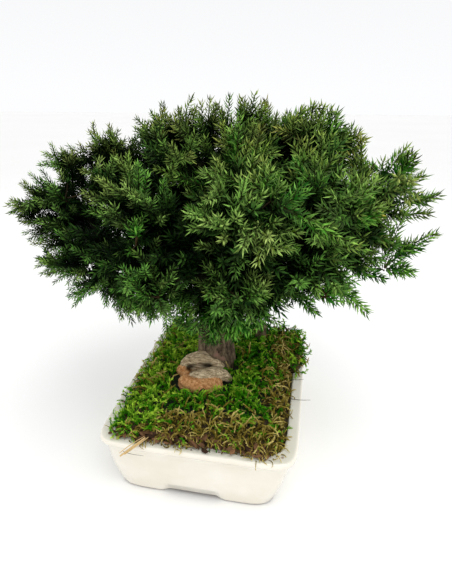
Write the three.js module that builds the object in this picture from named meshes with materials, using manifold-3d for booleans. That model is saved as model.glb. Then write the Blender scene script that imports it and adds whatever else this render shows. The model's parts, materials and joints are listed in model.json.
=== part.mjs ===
// A juniper bonsai in its white glazed pot, in millimetres with +Z up.
// The pot stands with its short sides facing -Y and +Y. The crown is turned a little on it.
import * as THREE from "three";
import { mergeVertices } from "three/addons/utils/BufferGeometryUtils.js";
import Module from "manifold-3d";

const wasm = await Module();
wasm.setup();

// Driving sizes of the pot
const POT_WIDTH = 150;
const POT_LENGTH = 189;
const POT_HEIGHT = 50;
const POT_SQUARENESS = 7.9;
const POT_SIDES = 36;
const SOIL_SIDES = 18;
const FLOOR_TOP = 10;
const FOOT_GAP_HEIGHT = 4.6;
const FOOT_GAP_SHARE = 0.46;
const DRAIN_RADIUS = 8;
const DRAIN_OFFSET = 46;

// Driving sizes of what fills the pot
const SCREEN_SIZE = 24;
const SCREEN_THICK = 1.4;
const SCREEN_OPENING = 6;
const SOIL_TOP = 42;
const MOSS_EDGE = 5;
const MOSS_MOUND = 9;
const MOSS_LUMP = 1.7;
const FIT_GAP = 0.35;

// Driving sizes of the tree
const CROWN_TURN = THREE.MathUtils.degToRad(10.94);
const TWIG_RADIUS = 1.3;
const NEEDLE_LENGTH = 8;
const NEEDLE_LEAN = THREE.MathUtils.degToRad(46);
const SHOOT_RADIUS = 0.85;
const WHORL_STEP = 2.9;
const SPRAY_COUNT = 38;
const SPRAY_SPACING = 18;
const SPRAY_DEPTH = 24;
const HEART_SIDE = 28;
const HEART_BACK = 9;
const STEM_RISE = 3.4;
const SHOOT_REACH = 8;
const CELL_GAP = 0.25;

const POT_GLAZE = new THREE.MeshStandardMaterial({ color: "#f1eee4", roughness: 0.25 });
const SCREEN_PLASTIC = new THREE.MeshStandardMaterial({ color: "#2b2d2b", roughness: 0.6 });
const SOIL_GRAIN = new THREE.MeshStandardMaterial({ color: "#3f3025", roughness: 1 });
const FRESH_MOSS = new THREE.MeshStandardMaterial({ color: "#3f6b16", roughness: 0.95 });
const DRY_MOSS = new THREE.MeshStandardMaterial({ color: "#6b6328", roughness: 0.95 });
const STRAW = new THREE.MeshStandardMaterial({ color: "#c2a565", roughness: 0.8 });
const DEAD_WOOD = new THREE.MeshStandardMaterial({ color: "#a07d54", roughness: 0.85 });
const BARK = new THREE.MeshStandardMaterial({ color: "#55493c", roughness: 0.9 });
const NEEDLES = new THREE.MeshStandardMaterial({ color: "#35551f", roughness: 0.6 });

const UP = new THREE.Vector3(0, 0, 1);

function vec(x, y, z) {
  return new THREE.Vector3(x, y, z);
}

// A point given as the crown's front sees it, in the pot's frame.
function crownPoint(x, y, z) {
  return vec(x, y, z).applyAxisAngle(UP, CROWN_TURN);
}

// A repeatable draw between 0 and 1 from two whole numbers.
function draw(i, j) {
  const wave = Math.sin(i * 12.9898 + j * 78.233) * 43758.5453;
  return wave - Math.floor(wave);
}

// A closed solid from a geometry's triangles, without the flat ones at a pole.
function solid(geometry) {
  const bare = geometry.clone();
  bare.deleteAttribute("normal");
  bare.deleteAttribute("uv");
  const merged = mergeVertices(bare, 1e-3);
  const corners = merged.index.array;
  const kept = [];
  for (let i = 0; i < corners.length; i += 3) {
    const [a, b, c] = corners.subarray(i, i + 3);
    if (a !== b && b !== c && c !== a) kept.push(a, b, c);
  }
  const mesh = new wasm.Mesh({
    numProp: 3,
    vertProperties: merged.attributes.position.array,
    triVerts: new Uint32Array(kept),
  });
  return new wasm.Manifold(mesh);
}

function joined(solids) {
  return solids.reduce((whole, next) => whole.add(next));
}

// The largest body of a solid, so that a scrap cut loose is dropped.
function mainBody(body) {
  const bodies = body.decompose();
  return bodies.reduce((best, next) => (next.volume() > best.volume() ? next : best));
}

function namedMesh(name, body, material) {
  const mesh = body.getMesh();
  const geometry = new THREE.BufferGeometry();
  geometry.setAttribute("position", new THREE.BufferAttribute(mesh.vertProperties, 3));
  geometry.setIndex(new THREE.BufferAttribute(mesh.triVerts, 1));
  geometry.computeVertexNormals();
  const named = new THREE.Mesh(geometry, material);
  named.name = name;
  return named;
}

// A geometry from a list of corner points, three for each triangle.
function fromTriangles(points) {
  const geometry = new THREE.BufferGeometry();
  const numbers = points.flatMap((point) => point.toArray());
  geometry.setAttribute("position", new THREE.Float32BufferAttribute(numbers, 3));
  return geometry;
}

// A tapered limb along a smooth curve: radii are spread evenly along it, and grain shapes its bark.
function limb(points, radii, sides, steps, grow = 0, grain = () => 1) {
  const curve = new THREE.CatmullRomCurve3(points);
  const frames = curve.computeFrenetFrames(steps, false);
  const rings = [];
  for (let i = 0; i <= steps; i++) {
    const along = (i / steps) * (radii.length - 1);
    const low = Math.min(Math.floor(along), radii.length - 2);
    const radius = THREE.MathUtils.lerp(radii[low], radii[low + 1], along - low);
    const centre = curve.getPointAt(i / steps);
    if (i === 0) centre.addScaledVector(frames.tangents[0], -grow);
    if (i === steps) centre.addScaledVector(frames.tangents[steps], grow);
    const ring = [];
    for (let k = 0; k < sides; k++) {
      const turn = (k / sides) * 2 * Math.PI;
      const reach = radius * grain(turn, i / steps) + grow / Math.cos(Math.PI / sides);
      const corner = centre.clone().addScaledVector(frames.normals[i], reach * Math.cos(turn));
      ring.push(corner.addScaledVector(frames.binormals[i], reach * Math.sin(turn)));
    }
    rings.push({ centre, ring });
  }
  const faces = [];
  for (let i = 0; i < steps; i++) {
    for (let k = 0; k < sides; k++) {
      const next = (k + 1) % sides;
      const [a, b] = [rings[i].ring[k], rings[i].ring[next]];
      const [c, d] = [rings[i + 1].ring[k], rings[i + 1].ring[next]];
      faces.push(a, b, d, a, d, c);
    }
  }
  for (let k = 0; k < sides; k++) {
    const next = (k + 1) % sides;
    faces.push(rings[0].centre, rings[0].ring[next], rings[0].ring[k]);
    faces.push(rings[steps].centre, rings[steps].ring[k], rings[steps].ring[next]);
  }
  return solid(fromTriangles(faces));
}

// The pot's plan: a rounded rectangle with bowed sides, at an inward offset from the rim.
function potPlan(radius, turnSin, turnCos) {
  const offset = Math.min(POT_WIDTH / 2 - radius, 30);
  const stretch = (POT_LENGTH / 2 - offset) / (POT_WIDTH / 2 - offset);
  const power = 2 / POT_SQUARENESS;
  const x = radius * Math.sign(turnSin) * Math.abs(turnSin) ** power;
  const y = radius * stretch * Math.sign(turnCos) * Math.abs(turnCos) ** power;
  return [x, y];
}

// A turned profile of [inward offset, height] steps, spread over the pot's plan.
function potTurned(profile, sides, lift = () => 0) {
  const outline = profile.map(([offset, z]) => new THREE.Vector2(POT_WIDTH / 2 - offset, z));
  const geometry = new THREE.LatheGeometry(outline, sides);
  const place = geometry.attributes.position;
  for (let i = 0; i < place.count; i++) {
    const radius = Math.hypot(place.getX(i), place.getZ(i));
    const height = place.getY(i);
    if (radius < 1e-6) {
      place.setXYZ(i, 0, 0, height + lift(0, 0, height));
      continue;
    }
    const near = (value) => (Math.abs(value) < 1e-9 ? 0 : value);
    const [x, y] = potPlan(radius, near(place.getX(i) / radius), near(-place.getZ(i) / radius));
    place.setXYZ(i, x, y, height + lift(x, y, height));
  }
  return solid(geometry);
}

function block(width, depth, height, x, y, z) {
  return solid(new THREE.BoxGeometry(width, depth, height).translate(x, y, z));
}

function pot() {
  const centre = POT_WIDTH / 2;
  const profile = [
    [centre, 6],
    [25, 6],
    [22.5, 0],
    [14, 0],
    [6.6, 20],
    [2.6, 41],
    [0, 43],
    [0, 48.6],
    [1.4, POT_HEIGHT],
    [6, POT_HEIGHT],
    [7.4, 48.6],
    [9, 41],
    [18, 13],
    [22, FLOOR_TOP],
    [centre, FLOOR_TOP],
  ];
  let body = potTurned(profile, POT_SIDES);
  const gapWidth = POT_WIDTH * FOOT_GAP_SHARE;
  const gapLength = POT_LENGTH * FOOT_GAP_SHARE;
  body = body.subtract(block(gapWidth, POT_LENGTH + 10, FOOT_GAP_HEIGHT * 2, 0, 0, 0));
  body = body.subtract(block(POT_WIDTH + 10, gapLength, FOOT_GAP_HEIGHT * 2, 0, 0, 0));
  for (const side of [-1, 1]) {
    const drain = new THREE.CylinderGeometry(DRAIN_RADIUS, DRAIN_RADIUS, 30, 16).rotateX(Math.PI / 2);
    body = body.subtract(solid(drain.translate(0, side * DRAIN_OFFSET, FLOOR_TOP)));
  }
  return body;
}

// A square plastic screen over a drain hole, with four openings.
function drainScreen(y) {
  const middle = FLOOR_TOP + FIT_GAP + SCREEN_THICK / 2;
  let plate = block(SCREEN_SIZE, SCREEN_SIZE, SCREEN_THICK, 0, y, middle);
  for (const sideX of [-1, 1]) {
    for (const sideY of [-1, 1]) {
      const step = SCREEN_OPENING * 0.7;
      const hole = block(SCREEN_OPENING, SCREEN_OPENING, POT_HEIGHT, sideX * step, y + sideY * step, middle);
      plate = plate.subtract(hole);
    }
  }
  return plate;
}

function soilFill() {
  const centre = POT_WIDTH / 2;
  const profile = [
    [centre, FLOOR_TOP + FIT_GAP],
    [22.6, FLOOR_TOP + FIT_GAP],
    [18.6, 13.2],
    [9.6, SOIL_TOP - 1],
    [11, SOIL_TOP],
    [centre, SOIL_TOP],
  ];
  let body = potTurned(profile, SOIL_SIDES);
  for (const side of [-1, 1]) {
    const size = SCREEN_SIZE + 2 * FIT_GAP;
    const top = FLOOR_TOP + SCREEN_THICK + 3 * FIT_GAP;
    body = body.subtract(block(size, size, 2 * (top - FLOOR_TOP), 0, side * DRAIN_OFFSET, FLOOR_TOP));
  }
  return body;
}

// How far the moss stands over its mound, from tufts of two sizes.
function mossTufts(x, y) {
  const broad = Math.sin(x * 0.17 + 1.3 * Math.sin(y * 0.11)) * Math.cos(y * 0.15 + 0.8);
  const small = Math.sin(x * 0.43 - y * 0.21 + 0.6) * Math.cos(y * 0.39 + x * 0.12);
  return MOSS_LUMP * (broad + 0.75 * small);
}

function mossCarpet(raised = 0) {
  const base = SOIL_TOP + FIT_GAP + raised;
  const rim = 9.8;
  const centre = POT_WIDTH / 2;
  const rings = 5;
  const profile = [
    [centre, base],
    [rim, base],
  ];
  for (let i = 0; i <= rings; i++) {
    const share = 1 - (i / rings) ** 1.15;
    const offset = rim - 0.4 + (1 - share) * (centre - rim + 0.4);
    profile.push([offset, base + MOSS_EDGE + MOSS_MOUND * (1 - share ** 4)]);
  }
  const lift = (x, y, z) => (z > base + MOSS_EDGE + 0.01 ? mossTufts(x, y) : 0);
  return potTurned(profile, POT_SIDES, lift);
}

// The ground that the dry moss covers: along the front edge and the right edge.
function dryGround(grow) {
  const edge = new THREE.Shape();
  const [left, right, front, back] = [-100, 100, -120, 78];
  const frontLine = (x) => -53 + 4 * Math.sin(x / 8.5) + 2.4 * Math.sin(x / 3.7 + 1);
  const rightLine = (y) => 47 + 3.5 * Math.sin(y / 10) + 2 * Math.sin(y / 4.1);
  edge.moveTo(left, front);
  const step = 6;
  for (let x = left; x < rightLine(-53) - step; x += step) edge.lineTo(x, frontLine(x) + grow);
  for (let y = -46; y < back; y += step) edge.lineTo(rightLine(y) - grow, y);
  edge.lineTo(right, back + grow);
  edge.lineTo(right, front);
  return solid(new THREE.ExtrudeGeometry(edge, { depth: POT_HEIGHT, bevelEnabled: false }).translate(0, 0, 30));
}

// The weathered root wood in front of the trunk: rolls grown over each other, with a dark slot between.
function rootBurl() {
  const knotty = (turn, along) => 1 + 0.12 * Math.sin(3 * turn + 5 * along) + 0.07 * Math.sin(5 * turn - 9 * along);
  const roll = (points, radii) => limb(points, radii, 6, 4, 0, knotty);
  return joined([
    roll([vec(-30, -15, 57), vec(-20, -10, 68), vec(-3, -9, 69), vec(13, -13, 60)], [6, 9, 8.5, 5]),
    roll([vec(-21, -19, 57), vec(-3, -21, 63), vec(10, -20, 63), vec(19, -17, 61)], [6, 7, 6, 3]),
    roll([vec(-28, -17, 54), vec(-18, -27, 55), vec(-2, -29, 55), vec(15, -21, 56)], [6, 8.5, 8, 4.5]),
    roll([vec(-17, -25, 55), vec(-12, -31, 54), vec(-8, -36, 53)], [7, 8, 5]),
  ]);
}

// A short upright stub of dead wood behind the trunk, with its foot in the soil.
function rootStub(grow = 0) {
  const worn = (turn, along) => 1 + 0.1 * Math.sin(2 * turn + 4 * along);
  const points = [vec(32, 66, 30), vec(31, 66, 50), vec(32, 65, 62), vec(34, 65, 73)];
  return limb(points, [4.5, 5.4, 5, 2.6], 7, 5, grow, worn);
}

function strawStrand(grow = 0) {
  const points = [vec(-27, -78, 54.5), vec(-33, -87, 52.6), vec(-38, -94, 51.8), vec(-43, -100, 50.4)];
  return limb(points, [1, 1.2, 1], 5, 6, grow);
}

// The mounds of foliage, from the crown's front: place of the middle and radius.
const MOUNDS = [
  [-107, -10, 204, 42],
  [-86, -30, 163, 36],
  [-73, 20, 226, 35],
  [-27, 10, 237, 34],
  [18, 12, 240, 33],
  [72, 0, 237, 35],
  [20, -68, 212, 41],
  [126, -8, 209, 38],
  [112, -20, 165, 36],
  [14, -60, 163, 37],
  [-40, -60, 165, 36],
  [65, -50, 162, 36],
  [-38, -60, 207, 40],
  [72, -48, 210, 40],
  [-78, 68, 190, 40],
  [0, 84, 194, 42],
  [80, 68, 192, 40],
  [-42, 56, 226, 38],
  [40, 56, 230, 37],
  [-46, 78, 160, 34],
  [45, 80, 160, 34],
  [-112, 38, 168, 34],
  [116, 38, 172, 36],
].map(([x, y, z, radius]) => ({ centre: crownPoint(x, y, z), radius }));

function insideMounds(point, margin) {
  return MOUNDS.some((mound) => point.distanceTo(mound.centre) < mound.radius - margin);
}

// How far a ray from inside the crown runs before it leaves the last mound.
function wayOut(from, direction) {
  let reach = 0;
  for (let t = 2; t < 60; t += 2) {
    if (insideMounds(from.clone().addScaledVector(direction, t), 0)) reach = t;
    else break;
  }
  return reach;
}

// Directions spread evenly over a sphere.
function evenDirection(i, count) {
  const z = 1 - (2 * i + 1) / count;
  const around = i * Math.PI * (3 - Math.sqrt(5));
  const flat = Math.sqrt(1 - z * z);
  return vec(flat * Math.cos(around), flat * Math.sin(around), z);
}

// Sprays sit just under the open skin of the mounds, each as far as it can be from the others.
function spraySites() {
  const offered = [];
  const tries = 60;
  MOUNDS.forEach((mound, m) => {
    for (let i = 0; i < tries; i++) {
      const outward = evenDirection(i, tries);
      const skin = mound.centre.clone().addScaledVector(outward, mound.radius);
      const buried = MOUNDS.some((other) => other !== mound && skin.distanceTo(other.centre) < other.radius + 3);
      if (outward.z < -0.5 || buried) continue;
      const place = mound.centre.clone().addScaledVector(outward, mound.radius - SPRAY_DEPTH);
      offered.push({ place, skin, outward, mound: m });
    }
  });
  const chosen = [offered.reduce((low, next) => (next.place.y < low.place.y ? next : low))];
  while (chosen.length < SPRAY_COUNT) {
    let best = null;
    let bestGap = SPRAY_SPACING;
    for (const offer of offered) {
      const apart = (site) => 0.5 * (site.place.distanceTo(offer.place) + site.skin.distanceTo(offer.skin));
      const gap = Math.min(...chosen.map(apart));
      if (gap > bestGap) [best, bestGap] = [offer, gap];
    }
    if (!best) break;
    chosen.push(best);
  }
  return chosen;
}

const SITES = spraySites();

// Each spray keeps to the room that is nearer to it than to any other spray.
function insideCell(point, own) {
  return SITES.every((other, index) => {
    if (index === own) return true;
    const away = other.place.clone().sub(SITES[own].place);
    const middle = other.place.clone().add(SITES[own].place).multiplyScalar(0.5);
    const past = point.clone().sub(middle).dot(away) / away.length();
    return past < -CELL_GAP;
  });
}

// The longest step from the spray's middle that stays inside its room.
function cellReach(own, direction, most) {
  let reach = most;
  const from = SITES[own].place;
  while (reach > 2 && !insideCell(from.clone().addScaledVector(direction, reach), own)) reach -= 1;
  return reach;
}

// The reach of a spray's leafy heart, which is its twigs and inner needles.
function heartReach(own, direction) {
  const { place, outward } = SITES[own];
  const facing = direction.dot(outward);
  const open = Math.max(wayOut(place, direction) - SHOOT_REACH, HEART_BACK);
  const side = THREE.MathUtils.lerp(HEART_BACK, HEART_SIDE, THREE.MathUtils.smoothstep(facing, -0.85, -0.1));
  return cellReach(own, direction, Math.min(open, side));
}

// The triangles of a shoot that rises from one face of the heart, with whorls of three needles.
// Each whorl is turned half a step from the last, and each needle rises from one triangle of the stem.
function shoot(base, direction, whorls) {
  const third = (2 * Math.PI) / 3;
  const foot = base[0].clone().add(base[1]).add(base[2]).divideScalar(3);
  const side = base[0].clone().sub(foot).projectOnPlane(direction).normalize();
  const over = new THREE.Vector3().crossVectors(direction, side);
  const spoke = (angle) => side.clone().multiplyScalar(Math.cos(angle)).addScaledVector(over, Math.sin(angle));
  const corner = (k, j) => {
    if (k === 0) return base[j % 3];
    const middle = foot.clone().addScaledVector(direction, STEM_RISE + (k - 1) * WHORL_STEP);
    return middle.addScaledVector(spoke((k * third) / 2 + j * third), SHOOT_RADIUS);
  };
  const faces = [];
  for (let k = 0; k <= whorls; k++) {
    for (let j = 0; j < 3; j++) {
      const [a, b, c, d] = [corner(k, j), corner(k, j + 1), corner(k + 1, j), corner(k + 1, j + 1)];
      faces.push(c, b, d);
      if (k === 0) {
        faces.push(a, b, c);
        continue;
      }
      const lean = direction.clone().multiplyScalar(Math.cos(NEEDLE_LEAN));
      lean.addScaledVector(spoke(((k + 1) * third) / 2 + j * third), Math.sin(NEEDLE_LEAN));
      const tip = a.clone().add(b).add(c).divideScalar(3).addScaledVector(lean, NEEDLE_LENGTH);
      faces.push(a, b, tip, b, c, tip, c, a, tip);
    }
  }
  const end = foot.clone().addScaledVector(direction, STEM_RISE + whorls * WHORL_STEP + NEEDLE_LENGTH * 0.8);
  for (let j = 0; j < 3; j++) faces.push(corner(whorls + 1, j), corner(whorls + 1, j + 1), end);
  return faces;
}

// Whether an edge of the first triangles passes through one of the others that it shares no corner with.
function pierces(first, others) {
  const ray = new THREE.Ray();
  const target = vec(0, 0, 0);
  for (let i = 0; i < first.length; i++) {
    const from = first[i];
    const to = i % 3 === 2 ? first[i - 2] : first[i + 1];
    const length = from.distanceTo(to);
    ray.set(from, to.clone().sub(from).divideScalar(length));
    for (let k = 0; k < others.length; k += 3) {
      const face = others.slice(k, k + 3);
      if (face.some((point) => point.distanceTo(from) < 0.01 || point.distanceTo(to) < 0.01)) continue;
      if (ray.intersectTriangle(...face, false, target) && target.distanceTo(from) < length) return true;
    }
  }
  return false;
}

// A spray is a faceted heart with a shoot on every face that looks out of the crown.
// A shoot that would leave the spray's room leans further outwards or has fewer needles.
function spray(own) {
  const { place, outward } = SITES[own];
  const shape = new THREE.IcosahedronGeometry(1, 0);
  const turn = new THREE.Quaternion().setFromUnitVectors(UP, outward);
  turn.multiply(new THREE.Quaternion().setFromAxisAngle(UP, 6 * draw(own, 1)));
  const corners = [];
  for (let i = 0; i < shape.attributes.position.count; i++) {
    const direction = new THREE.Vector3().fromBufferAttribute(shape.attributes.position, i);
    direction.normalize().applyQuaternion(turn);
    corners.push(place.clone().addScaledVector(direction, heartReach(own, direction)));
  }
  const made = [];
  for (let i = 0; i < corners.length; i += 3) {
    const base = corners.slice(i, i + 3);
    const normal = base[1].clone().sub(base[0]).cross(base[2].clone().sub(base[0])).normalize();
    const most = draw(own, 30 + i) > 0.8 ? 2 : 1;
    const tries = [[most, 0.2], [most, 0.5], [1, 0.5], [1, 0.8]];
    let accepted = base;
    for (const [whorls, blend] of normal.dot(outward) > -0.2 ? tries : []) {
      const offered = shoot(base, normal.clone().lerp(outward, blend).normalize(), whorls);
      if (offered.some((point) => !insideCell(point, own))) continue;
      if (pierces(offered, corners) || made.some((other) => pierces(offered, other))) continue;
      if (made.some((other) => pierces(other, offered))) continue;
      accepted = offered;
      break;
    }
    made.push(accepted);
  }
  return solid(fromTriangles(made.flat()));
}

// The trunk's middle line from the root end to its head, and the radius at each point.
const TRUNK_LINE = [
  [3, 14, 22],
  [3, 14, 44],
  [2, 14, 62],
  [0, 16, 85],
  [7, 21, 115],
  [2, 15, 145],
  [-4, 8, 170],
  [2, 4, 192],
].map(([x, y, z]) => crownPoint(x, y, z));
const TRUNK_RADII = [10, 17, 16, 13.5, 11.5, 9.5, 7.5, 4.5];

// The forks of the tree: the trunk's upper points and one in each mound, joined to the nearest nearer fork.
function branchForks() {
  const head = TRUNK_LINE[6];
  const spread = (point) => point.distanceTo(head);
  const forks = TRUNK_LINE.slice(4).map((place) => ({ place, parent: null, load: 0 }));
  const order = MOUNDS.map((mound, m) => ({ m, place: mound.centre.clone().lerp(head, 0.16) }));
  order.sort((a, b) => spread(a.place) - spread(b.place));
  for (const { m, place } of order) {
    const cost = (fork) => fork.place.distanceTo(place) + (fork.place.z > place.z + 12 ? 25 : 0);
    const parent = forks.reduce((best, next) => (cost(next) < cost(best) ? next : best));
    forks.push({ place, parent, load: 0, mound: m });
  }
  return forks;
}

function trunkWithBranches(grow = 0) {
  const bark = (turn, along) => 1 + 0.06 * Math.sin(3 * turn + 2 * along) + 0.05 * Math.sin(7 * turn + 9 * along);
  const wood = [limb(TRUNK_LINE, TRUNK_RADII, 11, 11, grow, bark)];
  const forks = branchForks();
  for (const site of SITES) {
    const fork = forks.find((each) => each.mound === site.mound);
    const tip = site.place.clone().addScaledVector(site.outward, 2);
    wood.push(limb([fork.place, tip], [TWIG_RADIUS * 1.5, TWIG_RADIUS], 3, 1, grow));
    for (let each = fork; each; each = each.parent) each.load += 1;
  }
  for (const fork of forks) {
    if (!fork.parent || fork.load === 0) continue;
    const radius = TWIG_RADIUS * 1.5 * fork.load ** 0.45;
    const rise = fork.parent.place.distanceTo(fork.place) * 0.07;
    const bend = fork.parent.place.clone().lerp(fork.place, 0.5).add(vec(0, 0, rise));
    const sides = fork.load > 2 ? 4 : 3;
    wood.push(limb([fork.parent.place, bend, fork.place], [radius * 1.25, radius], sides, 2, grow));
  }
  return mainBody(joined(wood));
}

const woodRoom = trunkWithBranches(FIT_GAP);
const stubRoom = rootStub(FIT_GAP);
const carpet = mossCarpet().subtract(woodRoom).subtract(stubRoom);
const burl = rootBurl().subtract(woodRoom).subtract(mossCarpet(FIT_GAP));

const bonsai = new THREE.Group();
bonsai.add(namedMesh("pot", pot(), POT_GLAZE));
bonsai.add(namedMesh("drain_screen_1", drainScreen(-DRAIN_OFFSET), SCREEN_PLASTIC));
bonsai.add(namedMesh("drain_screen_2", drainScreen(DRAIN_OFFSET), SCREEN_PLASTIC));
bonsai.add(namedMesh("soil", soilFill().subtract(woodRoom).subtract(stubRoom), SOIL_GRAIN));
bonsai.add(namedMesh("moss_fresh", mainBody(carpet.subtract(dryGround(0.6))), FRESH_MOSS));
bonsai.add(namedMesh("moss_dry", mainBody(carpet.intersect(dryGround(0))), DRY_MOSS));
bonsai.add(namedMesh("straw", strawStrand(), STRAW));
bonsai.add(namedMesh("root_burl", mainBody(burl), DEAD_WOOD));
bonsai.add(namedMesh("root_stub", rootStub(), DEAD_WOOD));
bonsai.add(namedMesh("trunk", trunkWithBranches(), BARK));
SITES.forEach((site, index) => {
  const name = "spray_" + String(index + 1).padStart(2, "0");
  bonsai.add(namedMesh(name, mainBody(spray(index).subtract(woodRoom)), NEEDLES));
});

// The origin is under the middle of the whole plant, on the surface that the pot stands on.
const reach = new THREE.Box3().setFromObject(bonsai);
const middle = reach.getCenter(new THREE.Vector3());
bonsai.position.set(-middle.x, -middle.y, 0);

export default bonsai;
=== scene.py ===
"""The looks of a juniper bonsai in a glazed pot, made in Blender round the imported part.

Lengths are millimetres in the pot's own frame, with the pot's middle over the origin and its foot
at height 0. They become metres in the part's frame where a mesh or a light is made."""

import json
import math

import bmesh
import bpy
import numpy as np
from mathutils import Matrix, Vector, kdtree, noise

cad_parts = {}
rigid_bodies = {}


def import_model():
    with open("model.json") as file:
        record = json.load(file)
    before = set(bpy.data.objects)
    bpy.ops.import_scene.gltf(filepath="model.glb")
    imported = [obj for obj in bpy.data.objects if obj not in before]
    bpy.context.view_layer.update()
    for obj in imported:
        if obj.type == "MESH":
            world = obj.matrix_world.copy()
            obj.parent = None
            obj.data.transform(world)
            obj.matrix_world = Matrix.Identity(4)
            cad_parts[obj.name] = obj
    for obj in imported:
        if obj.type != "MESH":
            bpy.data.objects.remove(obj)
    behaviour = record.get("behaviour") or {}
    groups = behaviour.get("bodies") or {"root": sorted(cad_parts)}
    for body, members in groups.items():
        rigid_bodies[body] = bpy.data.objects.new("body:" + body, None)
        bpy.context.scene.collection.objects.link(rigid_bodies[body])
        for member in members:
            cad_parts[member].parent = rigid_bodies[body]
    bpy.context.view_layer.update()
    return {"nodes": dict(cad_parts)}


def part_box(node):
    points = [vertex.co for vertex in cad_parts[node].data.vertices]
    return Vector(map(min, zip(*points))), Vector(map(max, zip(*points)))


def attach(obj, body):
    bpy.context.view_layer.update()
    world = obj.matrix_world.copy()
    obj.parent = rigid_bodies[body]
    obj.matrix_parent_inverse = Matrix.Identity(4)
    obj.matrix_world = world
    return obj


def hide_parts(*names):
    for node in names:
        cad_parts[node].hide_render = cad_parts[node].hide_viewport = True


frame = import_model()

# The pot
POT_WIDTH = 150
POT_LENGTH = 189
POT_HEIGHT = 50
POT_SQUARENESS = 12
CORNER_SOFTENING = 0.2
LEFT_STEEPNESS = 4
FRONT_STEEPNESS = 5.5
POT_SIDES = 160
FOOT_LIFT = 4.6
FOOT_GAP_SHARE = 0.3
FOOT_GAP_EDGE = 0.045
RIM_WIDTH = 8.7
DRAIN_RADIUS = 8
DRAIN_OFFSET = 46
CHIP_PLACE = (64.4, -80.4, 49.4)

# The moss and the dead wood
CARPET_SQUARENESS = 7.9
CARPET_BANK = 3.4
SMALL_AT_RIM = 0.55
CUSHION_LEFT = 30
CUSHION_RIGHT = 56
BURL_FOOT = (-8, -17, 56)
BURL_HALF_WIDTHS = (25, 20)
KNOT_DEPTH = 0.1
MOSS_SEED = 23

# The trunk and the crown
CROWN_TURN = math.radians(10.94)
BARK_GRID = 2.1
SPRAY_COUNT = 38
SKIN_SHARE = 0.77
CANDIDATE_AREA = 3.2
SKIN_SPACING = 10.9
UNDERSIDE_SPACING = 14
HUMP_WIDTH = 19
HUMP_HEIGHT = 15
DEEPEST_DIP = -0.34
DRY_TIP = (106, -46, 207)
RIGHT_END = 131
TIP_NEEDLES = 2
CROWN_MIDDLE = (4, 6, 186)
CROWN_HALF = (124, 92, 52)
HOLLOW_GRID = 8
HOLLOW_REACH = 8.1
FILLER_SPACING = 11.6
CROWN_REACH = 110
WOOD_BEHIND_TIP = 30
LONE_RIGHT_OF = 30
LONE_BELOW = 232
LEAFY_LENGTH = 26
TUFT_STEPS = 12
WHORL_STEP = 1.95
SKIN_SEED = 5
CROWN_SEED = 11
NEEDLE_LENGTH = 7.2
NEEDLE_WIDTH = 1.5
NEEDLE_DEPTH = 0.75
NEEDLE_LEAN_AT_FOOT = math.radians(58)
NEEDLE_LEAN_AT_TIP = math.radians(36)
DAYLIGHT_GRID = 4.5
SKY_WAYS = 30
SKY_STEPS = 10
LEAF_DIMMING = 0.16
# The share of daylight that the fillers inside the crown keep: painted shade.
INNER_DAYLIGHT = 0.54
DARK_AND_BRIGHT_PERCENTILES = (26, 94)

# What a tuft is like: its leafy length, its side shoots and how far they reach
LONE_PLUME = {"leafy_length": 32, "shoots": 4, "reach": 9}
LONE_PLUME_TIP = {"leafy_length": 28, "shoots": 2, "reach": 7}
CROWDED_PLUME = {"leafy_length": 32, "shoots": 4, "reach": 12}
PLUME_BESIDE = {"leafy_length": 22, "shoots": 3, "reach": 13}
DRY_TUFT = {"leafy_length": 5, "shoots": 1, "reach": 4, "size": 0.7, "dry": 0.75}
FILLER = {"leafy_length": 28, "shoots": 3, "reach": 13, "size": 1.4, "inner": True}

# The rounded mounds that the crown's skin follows: middle and radius, turned to face the camera
MOUNDS = [
    (-104, -8, 200, 35),
    (-98, 6, 218, 28),
    (-104, -20, 178, 28),
    (-80, -32, 168, 31),
    (-72, 20, 224, 33),
    (-28, 10, 241, 34),
    (-8, 14, 246, 31),
    (22, 12, 241, 32),
    (46, 16, 243, 31),
    (68, 4, 238, 34),
    (98, 4, 220, 33),
    (20, -66, 210, 40),
    (118, -8, 206, 33),
    (128, -10, 186, 25),
    (104, -20, 182, 27),
    (14, -56, 168, 36),
    (-40, -54, 167, 34),
    (64, -46, 171, 33),
    (-42, -44, 208, 37),
    (72, -44, 208, 39),
    (-10, -30, 144, 33),
    (30, -26, 142, 33),
    (-46, -20, 150, 31),
    (44, 0, 146, 25),
    (-22, -20, 226, 36),
    (24, -22, 229, 36),
    (68, -18, 227, 34),
    (-62, -16, 219, 32),
    (-78, 68, 190, 40),
    (0, 84, 194, 42),
    (80, 68, 192, 40),
    (-42, 56, 226, 37),
    (40, 56, 230, 37),
    (-46, 78, 160, 34),
    (45, 80, 160, 34),
    (-110, 38, 176, 33),
    (112, 38, 178, 33),
]

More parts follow.
